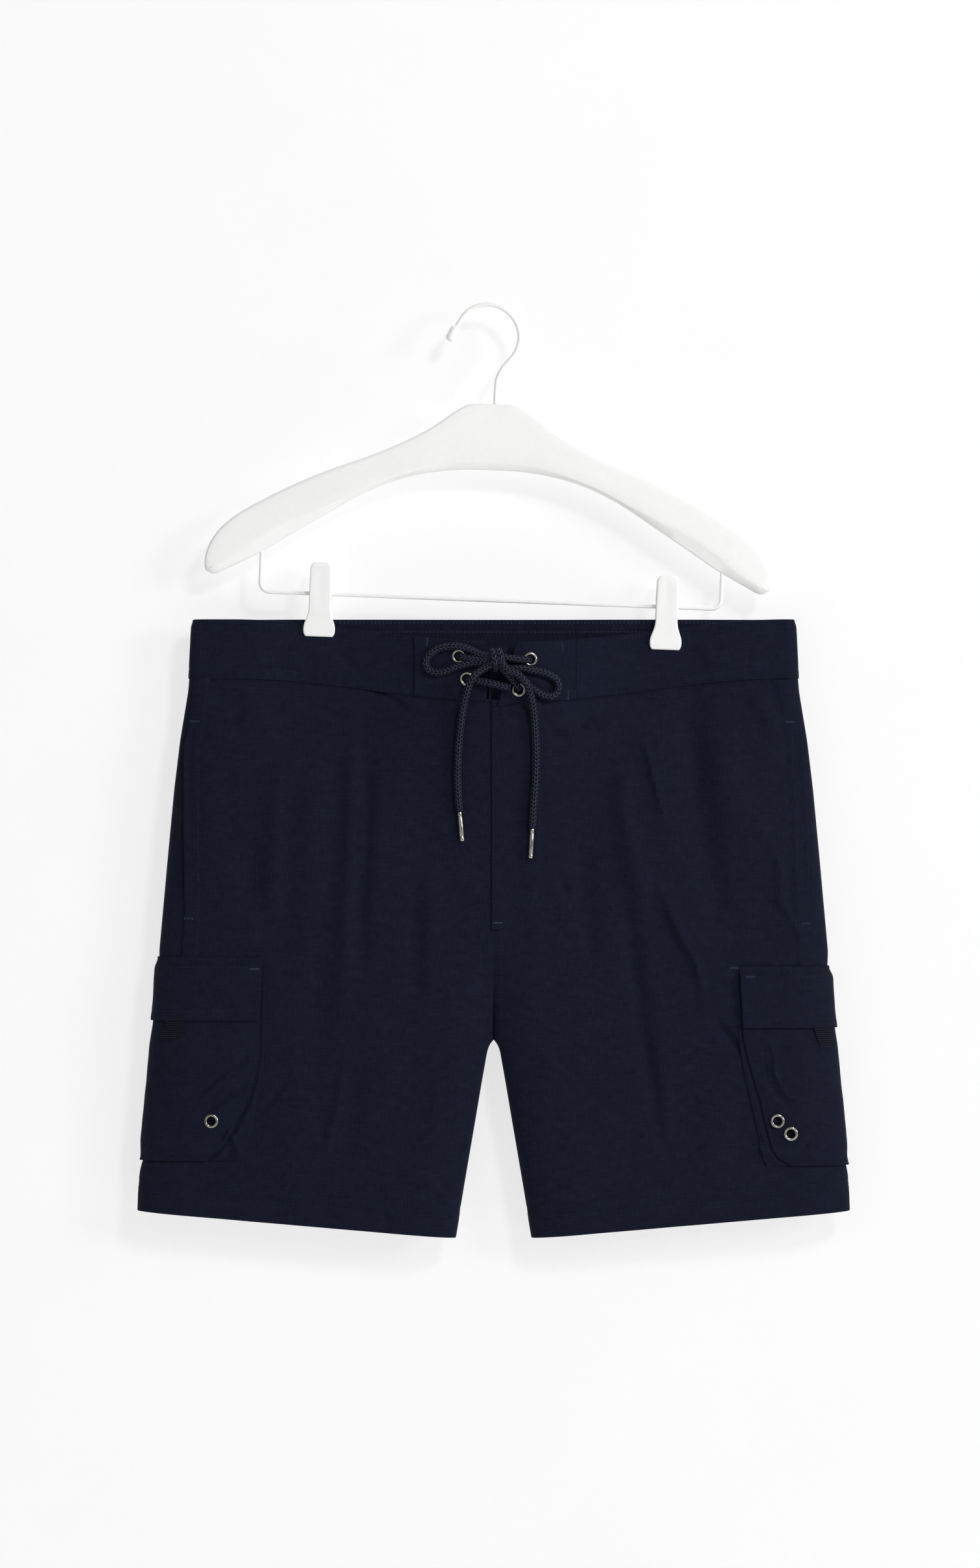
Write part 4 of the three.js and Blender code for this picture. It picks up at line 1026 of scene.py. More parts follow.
def legPanel(sideName, face):
    side, sign = sides[sideName], 1 if face == "front" else -1
    reach, z, crotchRow, footLine = panelGrid(side, face)
    x = form["centreX"] + side * (outerAt(z) - reach)
    facing = np.full((*z.shape, 3), np.nan)
    facing[:, 0] = (side, 0, 0)
    facing[:crotchRow, -1] = (0, -sign, 0)
    facing[crotchRow:, -1] = (-side, 0, 0)
    look = panelLook
    relief = panelRelief(x, z, face == "back")
    edge = np.minimum(reach, (outerAt(z) - innerAt(z)) - reach)
    relief = relief * smooth(edge / look["sideFade"]) - look["seamDip"] * ridge(edge, look["seamWidth"])
    if face == "front":
        relief = relief - bandGroove(x, z) * smooth(reach / 12)
    aboveHem = z - footLine
    hem = smooth((look["hemRise"] - aboveHem) / look["hemSlope"])
    for row in look["hemRows"]:
        relief = relief - look["rowDepth"] * ridge(aboveHem - row, look["rowWidth"])
    rim = look["rim"] * (1 - roundOff(aboveHem / look["rimHeight"]))
    high = relief + hem * look["hemStep"] - rim
    low = relief - look["thick"] - hem * look["hemFold"] + rim
    layer(f"{face}_panel_{sideName}", side, sign * reach, z, high, low,
          f"waistband_{face}_{sideName}", facing)


for sideName in sides:
    for panelFace in ("front", "back"):
        legPanel(sideName, panelFace)
print("leg panels made")

# Waistband, a folded band of four layers with a rounded edge, laid 0.5 mm over the panels
bandLook = {
    "out": 0.5, "thick": 1.9, "edge": 0.8, "cell": 1.7, "rowCell": 1.6,
    "rowDepth": 0.14, "rowWidth": 0.9, "hole": 4.3, "waveHeight": 0.09, "puckerHeight": 0.16,
}
bandEnds = {"right": endTab["rightFrom"], "left": endTab["leftTo"]}
bandCreases = [
    (-0.5, 2.0, [(-182, -262), (-176, -255)]),
    (0.5, 3.0, [(-150, -250), (-146, -272)]),
    (-0.6, 2.4, [(-112, -256), (-104, -268), (-92, -276)]),
    (-0.5, 2.0, [(-78, -262), (-70, -270)]),
    (-0.5, 2.0, [(82, -262), (90, -255)]),
    (-0.5, 2.2, [(100, -270), (108, -262), (112, -252)]),
    (0.5, 3.5, [(160, -250), (166, -274)]),
    (-0.4, 2.0, [(190, -256), (196, -266)]),
]


# Lines close together near both ends of a span, for a rounded edge
def edged(start, end, cell, radius):
    close = np.array([0, 0.12, 0.35, 0.65, 1.0]) * radius
    middle = np.linspace(start + radius, end - radius, max(3, int(round((end - start) / cell))))
    return np.concatenate([start + close[:-1], middle, (end - close[:-1])[::-1]])


# The cells of a grid that lie within the radius of any spot
def holesAt(x, z, spots, radius):
    cut = np.zeros(middles(z).shape, bool)
    for spotX, spotZ in spots:
        cut |= np.hypot(middles(x) - spotX, middles(z) - spotZ) < radius
    return cut


def easeNear(distance, radius, thick):
    return (thick / 2 - 0.04) * (1 - roundOff(distance / radius))


def bandWaves(x, z, face):
    return ripples(x, z, clothSeeds[face]["band"], bandLook["waveHeight"], 40, 9, 0.8)


def bandPiece(name, sideName, face, start, end, riseAt=None, droopAt=None, holes=(), slantEnd=None):
    look, side = bandLook, sides[sideName]
    sign = 1 if face == "front" else -1
    height = form["bandHeight"]
    down = edged(0, height, look["rowCell"], look["edge"])
    share = edged(0, 1, look["cell"] / abs(end(-255.0) - start(-255.0)), look["edge"] / 60)
    f = (down / height)[:, None] + 0 * share[None, :]
    level = form["waistTop"] - height * f
    reach = mix(start(level) if slantEnd is None else slantEnd(level, f), end(level), share[None, :])
    x = form["centreX"] + side * (outerAt(level) - reach)
    droop = droopAt(x) if droopAt else 0
    low = sag(x) if face == "front" else 0
    z = form["waistTop"] - low - (height + droop) * f
    rise = riseAt(x) if riseAt else 0
    pucker = ripples(x, z, clothSeeds[face]["pucker"], look["puckerHeight"], 13, 5, 0.95)
    nearRows = (ridge(down - 40, 5) + 0.6 * ridge(down - 6, 4))[:, None]
    relief = bandWaves(x, z, face) + pucker * nearRows
    if face == "front":
        relief = relief + creaseAt(x, z, bandCreases)
    for row in stitchDown:
        relief = relief - (look["rowDepth"] * ridge(down - row, look["rowWidth"]))[:, None]
    edge = np.minimum(np.minimum(down, height - down)[:, None],
                      np.minimum(reach - reach[:, :1], reach[:, -1:] - reach))
    edge = np.abs(edge)
    ease = easeNear(edge, look["edge"], look["thick"])
    facing = np.full((*z.shape, 3), np.nan)
    if start(-255.0) == 0:
        facing[:, 0] = (side, 0, 0)
        edge[:, 0] = 9
        ease = easeNear(np.minimum(down, height - down)[:, None] + 0 * edge, look["edge"], look["thick"])
    reach = sign * np.maximum(reach, 1e-4)
    outer = skin(side, reach, z, rise + relief + look["out"] - ease, facing)
    inner = skin(side, reach, z, rise + relief + look["out"] - look["thick"] + ease, facing)
    smoothForm = skin(side, reach, z, rise + 0 * z, facing)
    clothPiece(name, outer, inner, smoothForm, f"clip_front_{sideName}", holesAt(x, z, holes, look["hole"]))


stitchDown = (2.4, 9.2, 36.9, 43.6)
waistEyelets = {
    "eyelet_right_upper": (-23.3, -260.7), "eyelet_right_lower": (-17.3, -277.6),
    "eyelet_left_upper": (29.3, -263.1), "eyelet_left_lower": (20.9, -285.7),
}


def tabRise(x):
    span = endTab["fallEnd"] - endTab["fallStart"]
    return endTab["rise"] * (1 - smooth((x - endTab["fallStart"]) / span))


def rightRise(x):
    return endTab["rightStep"] * (1 - smooth((x - endTab["rightFrom"]) / endTab["rightFade"]))


def slanted(level, f):
    return fromX(mix(endTab["leftTopEdge"], endTab["leftFootEdge"], f), 1, level)


for sideName, endX in bandEnds.items():
    bandPiece(f"waistband_front_{sideName}", sideName, "front",
              lambda z: 0.0 * z, lambda z: fromX(endX, sides[sideName], z) - 0.1)
    bandPiece(f"waistband_back_{sideName}", sideName, "back",
              lambda z: 0.0 * z, lambda z: fromX(form["centreX"], sides[sideName], z))
rightHoles = [spot for name, spot in waistEyelets.items() if "right" in name]
leftHoles = [spot for name, spot in waistEyelets.items() if "left" in name]
bandPiece("eyelet_tab_right", "right", "front", lambda z: fromX(endTab["rightFrom"], -1, z) + 0.1,
          lambda z: fromX(endTab["rightTo"], -1, z), riseAt=rightRise, holes=rightHoles)
bandPiece("eyelet_tab_left", "left", "front", lambda z: fromX(endTab["leftTopEdge"], 1, z),
          lambda z: fromX(endTab["leftTo"], 1, z) + 0.1, riseAt=tabRise, droopAt=tabDroop,
          holes=leftHoles, slantEnd=slanted)


def underlap():
    start, end, top, foot = endTab["lap"]
    high, low, corner = endTab["lapOut"], endTab["lapIn"], endTab["lapEdge"]
    x = edged(start, end, 1.2, corner)[None, :]
    z = edged(foot, top, 1.2, corner)[::-1][:, None]
    x, z = x + 0 * z, z + 0 * x
    edge = np.minimum(np.minimum(x - start, end - x), np.minimum(z - foot, top - z))
    ease = easeNear(edge, corner, high - low)
    slantX = mix(endTab["leftTopEdge"], endTab["leftFootEdge"],
                 clamp((form["waistTop"] - sag(x) - z) / form["bandHeight"]))
    gap = -endTab["gapDepth"] * ridge(slantX - x - 1.5, endTab["gapWidth"])
    clothPiece("waist_underlap", onFront(x, z, high + gap - ease), onFront(x, z, low + gap + ease),
               onFront(x, z, 0), "eyelet_tab_right")


underlap()
print("waistband made")

# Eyelets: a rolled flange, a barrel through the cloth and a washer behind
eyeletLook = {
    "flange": 5.35, "bore": 3.2, "barrel": 3.6, "height": 1.25, "washer": 5.0,
    "throughBand": 2.6, "throughBag": 1.2,
}


def eyeletPart(name, point, normal, through):
    look = eyeletLook
    bore, flange, top = look["bore"], look["flange"], look["height"]
    middle = (bore + flange) / 2
    profile = [(bore, -through)]
    for k in range(9):
        turn = math.pi * (1 - k / 8)
        profile.append((middle + (flange - bore) / 2 * math.cos(turn), 0.25 + (top - 0.25) * math.sin(turn)))
    profile += [(flange - 0.15, 0.02), (look["barrel"], 0.02), (look["barrel"], -through + 0.5),
                (look["washer"], -through + 0.5), (look["washer"], -through)]
    finishHard(joined(name, [turned(profile, point, normal, 48)], metal, 50), "nickel", name)


for eyeletName, (x, z) in waistEyelets.items():
    eyeletSide = float(sideOf(x))
    lift = bandLook["out"] + (float(tabRise(x)) if eyeletSide > 0 else 0)
    point = onFront(x, z, lift)
    eyeletPart(eyeletName, point, onFront(x, z, lift + 1) - point, eyeletLook["throughBand"])

# Cargo pockets: (height, width of the face, width of the gusset) in front of the side seam
pockets = {
    "right": {
        "flapTop": -484.0, "flapFoot": -531.4, "flapFront": 77.4, "bagTop": -492.0, "back": 92.0,
        "rows": [(-492, 76.4, 79.5), (-516.5, 76.8, 80.5), (-531, 77, 81.5), (-556, 79.2, 83.4),
                 (-572, 77.4, 82.5), (-591, 74.2, 81.2), (-612, 65.5, 80), (-627, 57.2, 75.7),
                 (-635.5, 48, 72.5)],
        "tab": (10.2, 22.7), "eyelets": [(48.7, -605.6)], "roll": 1.2,
        "bagCreases": [
            (0.6, 1.8, [(-220, -594), (-204, -580), (-193, -570), (-179, -564)]),
            (-0.8, 1.9, [(-216, -602), (-202, -593), (-190, -585), (-180, -581)]),
            (-0.6, 2.0, [(-190, -564), (-179, -557)]),
            (-0.5, 3.5, [(-245, -545), (-243, -575), (-247, -600)]),
            (0.5, 4.0, [(-228, -548), (-224, -575)]),
            (-0.5, 2.2, [(-224, -648), (-210, -640), (-194, -635)]),
        ],
        "gussetCreases": [
            (2.0, 1.6, [(-200, -625), (-194, -613), (-187.5, -627), (-186.5, -636)]),
            (-1.2, 2.0, [(-194, -620), (-195, -633)]),
            (-0.8, 1.6, [(-186, -603), (-181, -618)]),
        ],
    },
    "left": {
        "flapTop": -490.8, "flapFoot": -536.8, "flapFront": 66.6, "bagTop": -499.0, "back": 92.0,
        "rows": [(-499, 65.4, 68.5), (-522, 66, 69.5), (-544, 67, 70.5), (-565, 63.8, 69.6),
                 (-589, 59, 66.5), (-608, 56.7, 64), (-627, 53.4, 62.5), (-635, 48.5, 61.5), (-639, 40, 60)],
        "tab": (5.7, 16.0), "eyelets": [(47.5, -605.6), (38.6, -615.0)], "roll": 0.4,
        "bagCreases": [
            (0.5, 1.3, [(195, -541), (206, -545), (210, -555), (211, -572), (220, -586), (234, -598),
                        (247, -612)]),
            (-0.35, 2.6, [(202, -552), (205, -572), (214, -588), (230, -602)]),
            (-0.5, 2.0, [(189, -564), (196, -576), (200, -588)]),
            (0.5, 4.0, [(232, -550), (236, -575)]),
        ],
        "gussetCreases": [
            (-0.8, 2.0, [(187, -588), (195, -612), (204, -626)]),
            (1.6, 1.6, [(192, -618), (197, -624), (206, -633)]),
            (-0.9, 1.4, [(196, -630), (203, -628)]),
        ],
    },
}
pocketLook = {
    "gusset": (0.15, 1.1), "bag": (1.6, 2.3), "flap": (2.9, 3.7), "cell": 1.5,
    "gussetBand": 15.0, "swell": 0.55, "rollAt": 5, "rollWidth": 3, "dip": 0.9, "dipAt": 0.8, "dipWidth": 1.6,
    "puff": 1.5, "crease": 2.0, "hole": 4.2, "flatRound": 5.2, "backCorner": 16, "flapGap": 0.3,
    "rowDepth": 0.12, "rowWidth": 0.8, "rowsBelow": (2.2, 7.4), "flapRow": 7, "bagRow": 2.2,
    "bagGroove": 2.4, "gussetRow": 1.4, "webbing": (2.5, 3.9),
    "webbingLength": 14.3, "webbingRib": 1.6, "webbingRelief": 0.16, "webbingSlant": -0.24,
}


def aroundSide(front, back, z, cell):
    rounding = float(sideRound(z))
    turns = []
    for far, sign in ((front, 1), (back, -1)):
        inRound = rounding * (1 - np.cos(np.linspace(0, 1, 15) * math.pi / 2))
        flat = np.linspace(rounding, far, max(3, int(round(64 / cell))))[1:]
        whole = np.concatenate([inRound, flat]) if far > rounding else np.linspace(0, far, 40)
        turns.append(sign * whole)
    return np.concatenate([turns[0][::-1], turns[1][1:]])


def pocketGrid(pocket, column, heights, backInset, cell):
    frontAt = byHeight(pocket["rows"], column, 2)
    foot = pocket["rows"][-1][0]
    reach = []
    for z in heights:
        corner = float(roundOff((z - foot + 1) / pocketLook["backCorner"]))
        back = pocket["back"] - backInset - pocketLook["backCorner"] * (1 - corner)
        reach.append(aroundSide(float(frontAt(z)), back, z, cell))
    return np.vstack(reach), heights[:, None] + 0 * reach[0][None, :]


def xOf(side, reach, z):
    return form["centreX"] + side * (outerAt(z) - np.abs(reach))


# How far the flap is pressed down at its sewn top
def sewnDown(pocket, z):
    return smooth((z - (pocket["bagTop"] - 1)) / (pocket["flapTop"] - pocket["bagTop"]))


def edgeDistance(reach, z):
    across = np.minimum(reach[:, :1] - reach, reach - reach[:, -1:])
    upright = np.minimum(z[:1, :] - z, z - z[-1:, :])
    return np.minimum(np.abs(across), np.abs(upright))


def stitchGroove(distance):
    return pocketLook["rowDepth"] * ridge(distance, pocketLook["rowWidth"])


def bagPuff(pocket, z):
    return pocketLook["puff"] * smooth((pocket["flapFoot"] + 5 - z) / 30)


# The gusset, sewn flat at its outer edge and folded up under the bag
def makeGusset(sideName, pocket):
    look, side = pocketLook, sides[sideName]
    foot, band = pocket["rows"][-1][0], look["gussetBand"]
    heights = edged(foot, pocket["bagTop"], look["cell"], 0.8)[::-1]
    reach, z = pocketGrid(pocket, 2, heights, -3, look["cell"])
    low, high = look["gusset"]
    edge = edgeDistance(reach, z)
    front = reach > 0
    faceAt = byHeight(pocket["rows"], 1, 2)
    relief = np.where(front, creaseAt(xOf(side, reach, z), z, pocket["gussetCreases"]), 0)
    relief = relief + look["swell"] * smooth((edge - 2) / 4)
    beyond = np.abs(reach) - np.where(front, faceAt(z), pocket["back"])
    relief = relief + pocket["roll"] * ridge(beyond - look["rollAt"], look["rollWidth"]) * smooth(edge / 3)
    relief = relief - look["dip"] * ridge(beyond - look["dipAt"], look["dipWidth"])
    middle, height = middles(reach), middles(z)
    hollow = (middle < faceAt(height) - band) & (middle > -(pocket["back"] - band)) & (height > foot + band)
    stripLength = 2 * (pocket["bagTop"] - foot) + arcs(skin(side, reach, z, 0))[-1, -1] - band
    layer(f"cargo_gusset_{sideName}", side, reach, z, high - 0.5 * (1 - roundOff(edge / 1.2)) + relief,
          low + relief * smooth(edge / 4), f"front_panel_{sideName}", cut=hollow, strip=stripLength)


# The bag's face, puffed out below the flap, with its drain eyelets
def makeBag(sideName, pocket):
    side, cell = sides[sideName], pocketLook["cell"]
    heights = edged(pocket["rows"][-1][0], pocket["bagTop"], cell, 0.8)[::-1]
    reach, z = pocketGrid(pocket, 1, heights, 0, cell)
    low, high = pocketLook["bag"]
    edge = edgeDistance(reach, z)
    x = xOf(side, reach, z)
    folds = np.where(reach > 0, creaseAt(x, z, pocket["bagCreases"]), 0) * smooth(edge / 5)
    folds = folds * pocketLook["crease"]
    folds = folds + ripples(x, z, 61 + side, 0.1, 34, 10, 0.4) * smooth(edge / 8)
    for spotReach, spotZ in pocket["eyelets"]:
        fromSpot = np.hypot(reach - spotReach, z - spotZ)
        folds = folds * smooth((fromSpot - pocketLook["flatRound"]) / 6)
    relief = bagPuff(pocket, z) * smooth(edge / 20) + folds - stitchGroove(edge - pocketLook["bagGroove"])
    ease = easeNear(edge, 0.7, high - low)
    layer(f"cargo_pocket_{sideName}", side, reach, z, high + relief - ease, low + relief + ease,
          f"cargo_gusset_{sideName}", cut=holesAt(reach, z, pocket["eyelets"], pocketLook["hole"]))
    for number, (spotReach, spotZ) in enumerate(pocket["eyelets"], 1):
        top = high + float(bagPuff(pocket, spotZ))
        point = skin(side, spotReach, spotZ, top)
        eyeletPart(f"eyelet_pocket_{sideName}_{number}", point,
                   skin(side, spotReach, spotZ, top + 1) - point, eyeletLook["throughBag"])


# The flap, sewn down along its top and free at its foot
def makeFlap(sideName, pocket):
    side, cell = sides[sideName], pocketLook["cell"]
    flapZ = edged(pocket["flapFoot"], pocket["flapTop"], cell, 0.8)[::-1]
    reach = np.vstack([aroundSide(pocket["flapFront"], pocket["back"] + 1, z, cell) for z in flapZ])
    z = flapZ[:, None] + 0 * reach
    low, high = pocketLook["flap"]
    edge = edgeDistance(reach, z)
    lift = -(low - pocketLook["flapGap"]) * sewnDown(pocket, z)
    lift = lift + 0.7 * smooth((pocket["flapFoot"] + 16 - z) / 16)
    relief = lift + ripples(xOf(side, reach, z), z, 71 + side, 0.12, 40, 11, 0.6) * smooth(edge / 6)
    for below in pocketLook["rowsBelow"]:
        relief = relief - stitchGroove(pocket["flapTop"] - z - below)
    relief = relief - stitchGroove(edge - pocketLook["flapRow"]) * (z < pocket["bagTop"])
    ease = easeNear(edge, 0.7, high - low)
    layer(f"pocket_flap_{sideName}", side, reach, z, high + relief - ease, low + relief + ease,
          f"cargo_pocket_{sideName}")


# The webbing pull under the flap, ribbed across
def makePull(sideName, pocket):
    side, top = sides[sideName], pocket["flapFoot"] + 3
    tabZ = edged(top - pocketLook["webbingLength"] - 3, top, 0.3, 0.5)[::-1]
    tabReach = edged(*pocket["tab"], 0.7, 0.5)[::-1]
    reach, z = tabReach[None, :] + 0 * tabZ[:, None], tabZ[:, None] + 0 * tabReach[None, :]
    slanting = reach + (top - z) * pocketLook["webbingSlant"]
    ribs = pocketLook["webbingRelief"] * np.cos(2 * math.pi * z / pocketLook["webbingRib"])
    low, high = pocketLook["webbing"]
    ease = easeNear(edgeDistance(reach, z), 0.5, high - low)
    clothPiece(f"pocket_tab_{sideName}", skin(side, slanting, z, high + ribs - ease),
               skin(side, slanting, z, low + ease), skin(side, reach, z, 0), f"pocket_flap_{sideName}",
               slot="webbing")


for sideName, pocket in pockets.items():
    makeGusset(sideName, pocket)
    makeBag(sideName, pocket)
    makeFlap(sideName, pocket)
    makePull(sideName, pocket)
print("cargo pockets made")

# The folded mouth of a slash pocket, down the side seam
def makeWelt(sideName, seam):
    side, look = sides[sideName], weltLook
    across = edged(0, look["width"], 0.9, 0.7)[None, :]
    z = edged(seam[-1][0], seam[0][0] + 1, 1.8, 0.6)[::-1][:, None] + 0 * across
    x = byHeight(seam, 1, 3)(z) - side * across
    reach = fromX(x, side, z)
    fall = look["rise"] * (1 - smooth((across - look["fallFrom"]) / look["fallWidth"]))
    relief = panelRelief(x, z, False) * smooth(reach / panelLook["sideFade"])
    gape = look["gape"] * pocketOpen(z) * ridge(across, look["gapeWidth"])
    ease = look["ease"] * (1 - roundOff(across / look["easeWidth"]))
    groove = look["rowDepth"] * ridge(across - look["row"], look["rowWidth"])
    high = relief + look["over"] + fall + gape - ease - groove
    low = relief - look["under"] + gape * look["gapeShare"]
    layer(f"side_pocket_{sideName}", side, reach, z, high, low, f"front_panel_{sideName}")


# Fly overlap, its edge at the centre and its foot curved
def makeFly():
    look = flyLook
    toAt = byHeight(look["rows"], 1, 1)
    z = edged(look["rows"][-1][0], look["top"], 1.5, 0.6)[::-1][:, None]
    share = edged(0, 1, 1.3 / 38, 0.6 / 38)[None, :]
    x = mix(look["edge"], toAt(z), share)
    z = z + 0 * x
    fromEdge = x - look["edge"]
    relief = panelRelief(x, z, False)
    rise = look["out"] * smooth((toAt(z) - x) / look["fall"])
    ease = weltLook["ease"] * (1 - roundOff(fromEdge / weltLook["easeWidth"]))
    groove = look["rowDepth"] * ridge(fromEdge - look["row"], look["rowWidth"])
    outer = onFront(x, z, relief + look["over"] + rise - ease - groove)
    inner = onFront(x, z, relief - look["under"])
    clothPiece("fly", outer, inner, onFront(x, z, 0), "waistband_front_left")


for sideName, seam in welts.items():
    makeWelt(sideName, seam)
makeFly()
print("fly and slash pockets made")

# Stitch rows: each is a line of places on the cloth, with the lift of the layer that it holds
stitchLook = {"pitch": 2.9, "length": 2.15, "width": 0.62, "seed": 7}
tackLook = {"pitch": 0.5, "length": 2.1, "width": 0.5, "seed": 9}


def frontLine(points, lift, step=1.5):
    xz = curveThrough(points, step)
    return onFront(xz[:, 0], xz[:, 1], lift(xz[:, 0], xz[:, 1]) if callable(lift) else lift)


def bandLine(down, startX, endX, lift, face="front", inside=False):
    x = np.linspace(startX, endX, max(3, int(abs(endX - startX) / 2)))
    side = sideOf(x)
    low = sag(x) if face == "front" else 0
    z = form["waistTop"] - low - down
    sign = 1 if face == "front" else -1
    level = form["waistTop"] - down
    rise = lift(x) if callable(lift) else lift
    relief = bandWaves(x, z, face)
    if face == "front":
        relief = relief + creaseAt(x, z, bandCreases)
    if inside:
        rise, relief = rise - bandLook["thick"], relief - 0.04
    return skin(side, sign * fromX(x, side, level), z, rise + relief + 0.02)


def stitchPoints(line, pitch):
    return atDistances(line, np.arange(pitch / 2, distances(line)[-1], pitch))


def stitchTree():
    tree = bpy.data.node_groups.new("stitchRows", "GeometryNodeTree")
    sockets = {}
    for label, kind in (("Geometry", "NodeSocketGeometry"), ("Length", "NodeSocketFloat"),
                        ("Width", "NodeSocketFloat"), ("Seed", "NodeSocketInt"),
                        ("Thread", "NodeSocketMaterial")):
        sockets[label] = tree.interface.new_socket(label, in_out="INPUT", socket_type=kind).identifier
    tree.interface.new_socket("Geometry", in_out="OUTPUT", socket_type="NodeSocketGeometry")
    start, end = addNode(tree, "NodeGroupInput"), addNode(tree, "NodeGroupOutput")
    link = tree.links.new
    ball = addNode(tree, "GeometryNodeMeshIcoSphere")
    ball.inputs["Subdivisions"].default_value = 1
    ball.inputs["Radius"].default_value = 0.5
    size = addNode(tree, "ShaderNodeCombineXYZ")
    flat = addNode(tree, "ShaderNodeMath", operation="MULTIPLY")
    flat.inputs[1].default_value = 0.75
    link(start.outputs["Width"], flat.inputs[0])
    link(flat.outputs[0], size.inputs["X"])
    link(start.outputs["Width"], size.inputs["Y"])
    link(start.outputs["Length"], size.inputs["Z"])
    stretched = addNode(tree, "GeometryNodeTransform")
    link(ball.outputs["Mesh"], stretched.inputs["Geometry"])
    link(size.outputs[0], stretched.inputs["Scale"])
    turns = []
    for axis, name in (("Z", "along"), ("X", "facing")):
        attribute = addNode(tree, "GeometryNodeInputNamedAttribute", data_type="FLOAT_VECTOR")
        attribute.inputs["Name"].default_value = name
        align = addNode(tree, "FunctionNodeAlignRotationToVector", axis=axis)
        link(attribute.outputs["Attribute"], align.inputs["Vector"])
        turns.append(align)
    turns[1].pivot_axis = "Z"
    link(turns[0].outputs[0], turns[1].inputs["Rotation"])
    chance = addNode(tree, "FunctionNodeRandomValue", data_type="FLOAT")
    for index, value in ((2, 0.86), (3, 1.06)):
        chance.inputs[index].default_value = value
    link(start.outputs["Seed"], chance.inputs["Seed"])
    place = addNode(tree, "GeometryNodeInstanceOnPoints")
    link(start.outputs["Geometry"], place.inputs["Points"])
    link(stretched.outputs["Geometry"], place.inputs["Instance"])
    link(turns[1].outputs[0], place.inputs["Rotation"])
    link(chance.outputs[1], place.inputs["Scale"])
    real = addNode(tree, "GeometryNodeRealizeInstances")
    shade = addNode(tree, "GeometryNodeSetShadeSmooth")
    paint = addNode(tree, "GeometryNodeSetMaterial")
    link(place.outputs[0], real.inputs[0])
    link(real.outputs[0], shade.inputs[0])
    link(shade.outputs[0], paint.inputs["Geometry"])
    link(start.outputs["Thread"], paint.inputs["Material"])
    link(paint.outputs[0], end.inputs[0])
    return tree, sockets


stitches, stitchSockets = stitchTree()


# One mesh of stitches from points with a direction and a facing
def sewn(name, points, along, facing, sizes, material):
    mesh = bpy.data.meshes.new(name + "Points")
    mesh.from_pydata([tuple(p) for p in points * mm], [], [])
    for label, values in (("along", along), ("facing", facing)):
        attribute = mesh.attributes.new(label, "FLOAT_VECTOR", "POINT")
        attribute.data.foreach_set("vector", np.asarray(values, float).ravel())
    source = placed(name + "Points", mesh)
    modifier = source.modifiers.new("stitches", "NODES")
    modifier.node_group = stitches
    modifier[stitchSockets["Length"]] = sizes["length"] * mm
    modifier[stitchSockets["Width"]] = sizes["width"] * mm
    modifier[stitchSockets["Seed"]] = sizes["seed"]
    modifier[stitchSockets["Thread"]] = material
    evaluated = source.evaluated_get(bpy.context.evaluated_depsgraph_get())
    result = bpy.data.meshes.new_from_object(evaluated)
    result.name = name
    bpy.data.objects.remove(source)
    finishHard(placed(name, result), "cloth")


def surfaceNormal(points, inside=False):
    front = (points[:, 1] < 0) != inside
    aside = points[:, 0] - form["centreX"]
    fade = panelLook["sideFade"]
    x = np.sign(aside) * clamp((np.abs(aside) - (outerAt(points[:, 2]) - fade)) / fade) ** 1.5
    normal = np.stack([x, np.where(front, -1, 1) * np.sqrt(np.maximum(0.02, 1 - x * x)), 0 * x], -1)
    return normal / np.linalg.norm(normal, axis=1, keepdims=True)


bandOut = bandLook["out"]
rows = []
for down in stitchDown:
    rows.append(bandLine(down, -221, -57.5, bandOut))
    rows.append(bandLine(down, 222, 66, bandOut))
    rows.append(bandLine(down, -221, 222, bandOut, "back"))


def onRight(x):
    return bandOut + rightRise(x)


def onLeft(x):
    return bandOut + tabRise(x)


# Rows along the laced ends: how far down, start, end, lift
for row in ((2.4, -51, -2, onRight), (36.9, -51, -8, onRight), (42.4, -51, -2, onRight),
            (2.4, 21, 61, onLeft), (9.2, 36, 61, onLeft), (37.2, 34, 61, onLeft)):
    rows.append(bandLine(*row))
# Rows down the waistband: x at the top, x at the foot, lift
for topX, footX, lift in ((-51.4, -54.6, onRight), (51.6, 56.6, onLeft), (66.4, 66.4, bandOut),
                          (-215.4, -215.4, bandOut), (220.7, 220.7, bandOut)):
    down = np.linspace(1.5, 43.5, 24)
    x = np.linspace(topX, footX, 24)
    side = sideOf(x)
    rise = lift(x) if callable(lift) else lift
    reach = fromX(x, side, form["waistTop"] - down)
    rows.append(skin(side, reach, form["waistTop"] - sag(x) - down, rise + 0.1))
tabBottom = [(x, form["waistTop"] - float(sag(x)) - form["bandHeight"] - float(tabDroop(x)) + 2.5)
             for x in (5.6, 12, 20, 30, 42, 60)]
rows.append(frontLine(tabBottom, lambda x, z: onLeft(x) - 0.05))
# Fly: edge row, two curved rows, and the double row below it
flyLift = flyLook["out"] + 0.06
flyRows = [
    (flyLift, [(2.3, -299), (2.3, -380), (2.3, -456)]),
    (0.1, [(38.3, -297), (38.3, -360), (38.3, -413.2), (35.9, -435), (29.1, -452.5), (10.7, -463.7)]),
    (flyLift, [(31.5, -299), (31.5, -360), (31.5, -413.2), (31, -430.2), (25.2, -445.2), (9.2, -457.4)]),
    (0.05, [(0.5, -460), (0.5, -500), (0.5, -543)]),
    (0.05, [(8.0, -460), (8.0, -500), (8.0, -543)]),
]
for lift, points in flyRows:
    rows.append(frontLine(points, lambda x, z: panelRelief(x, z, False) + lift))
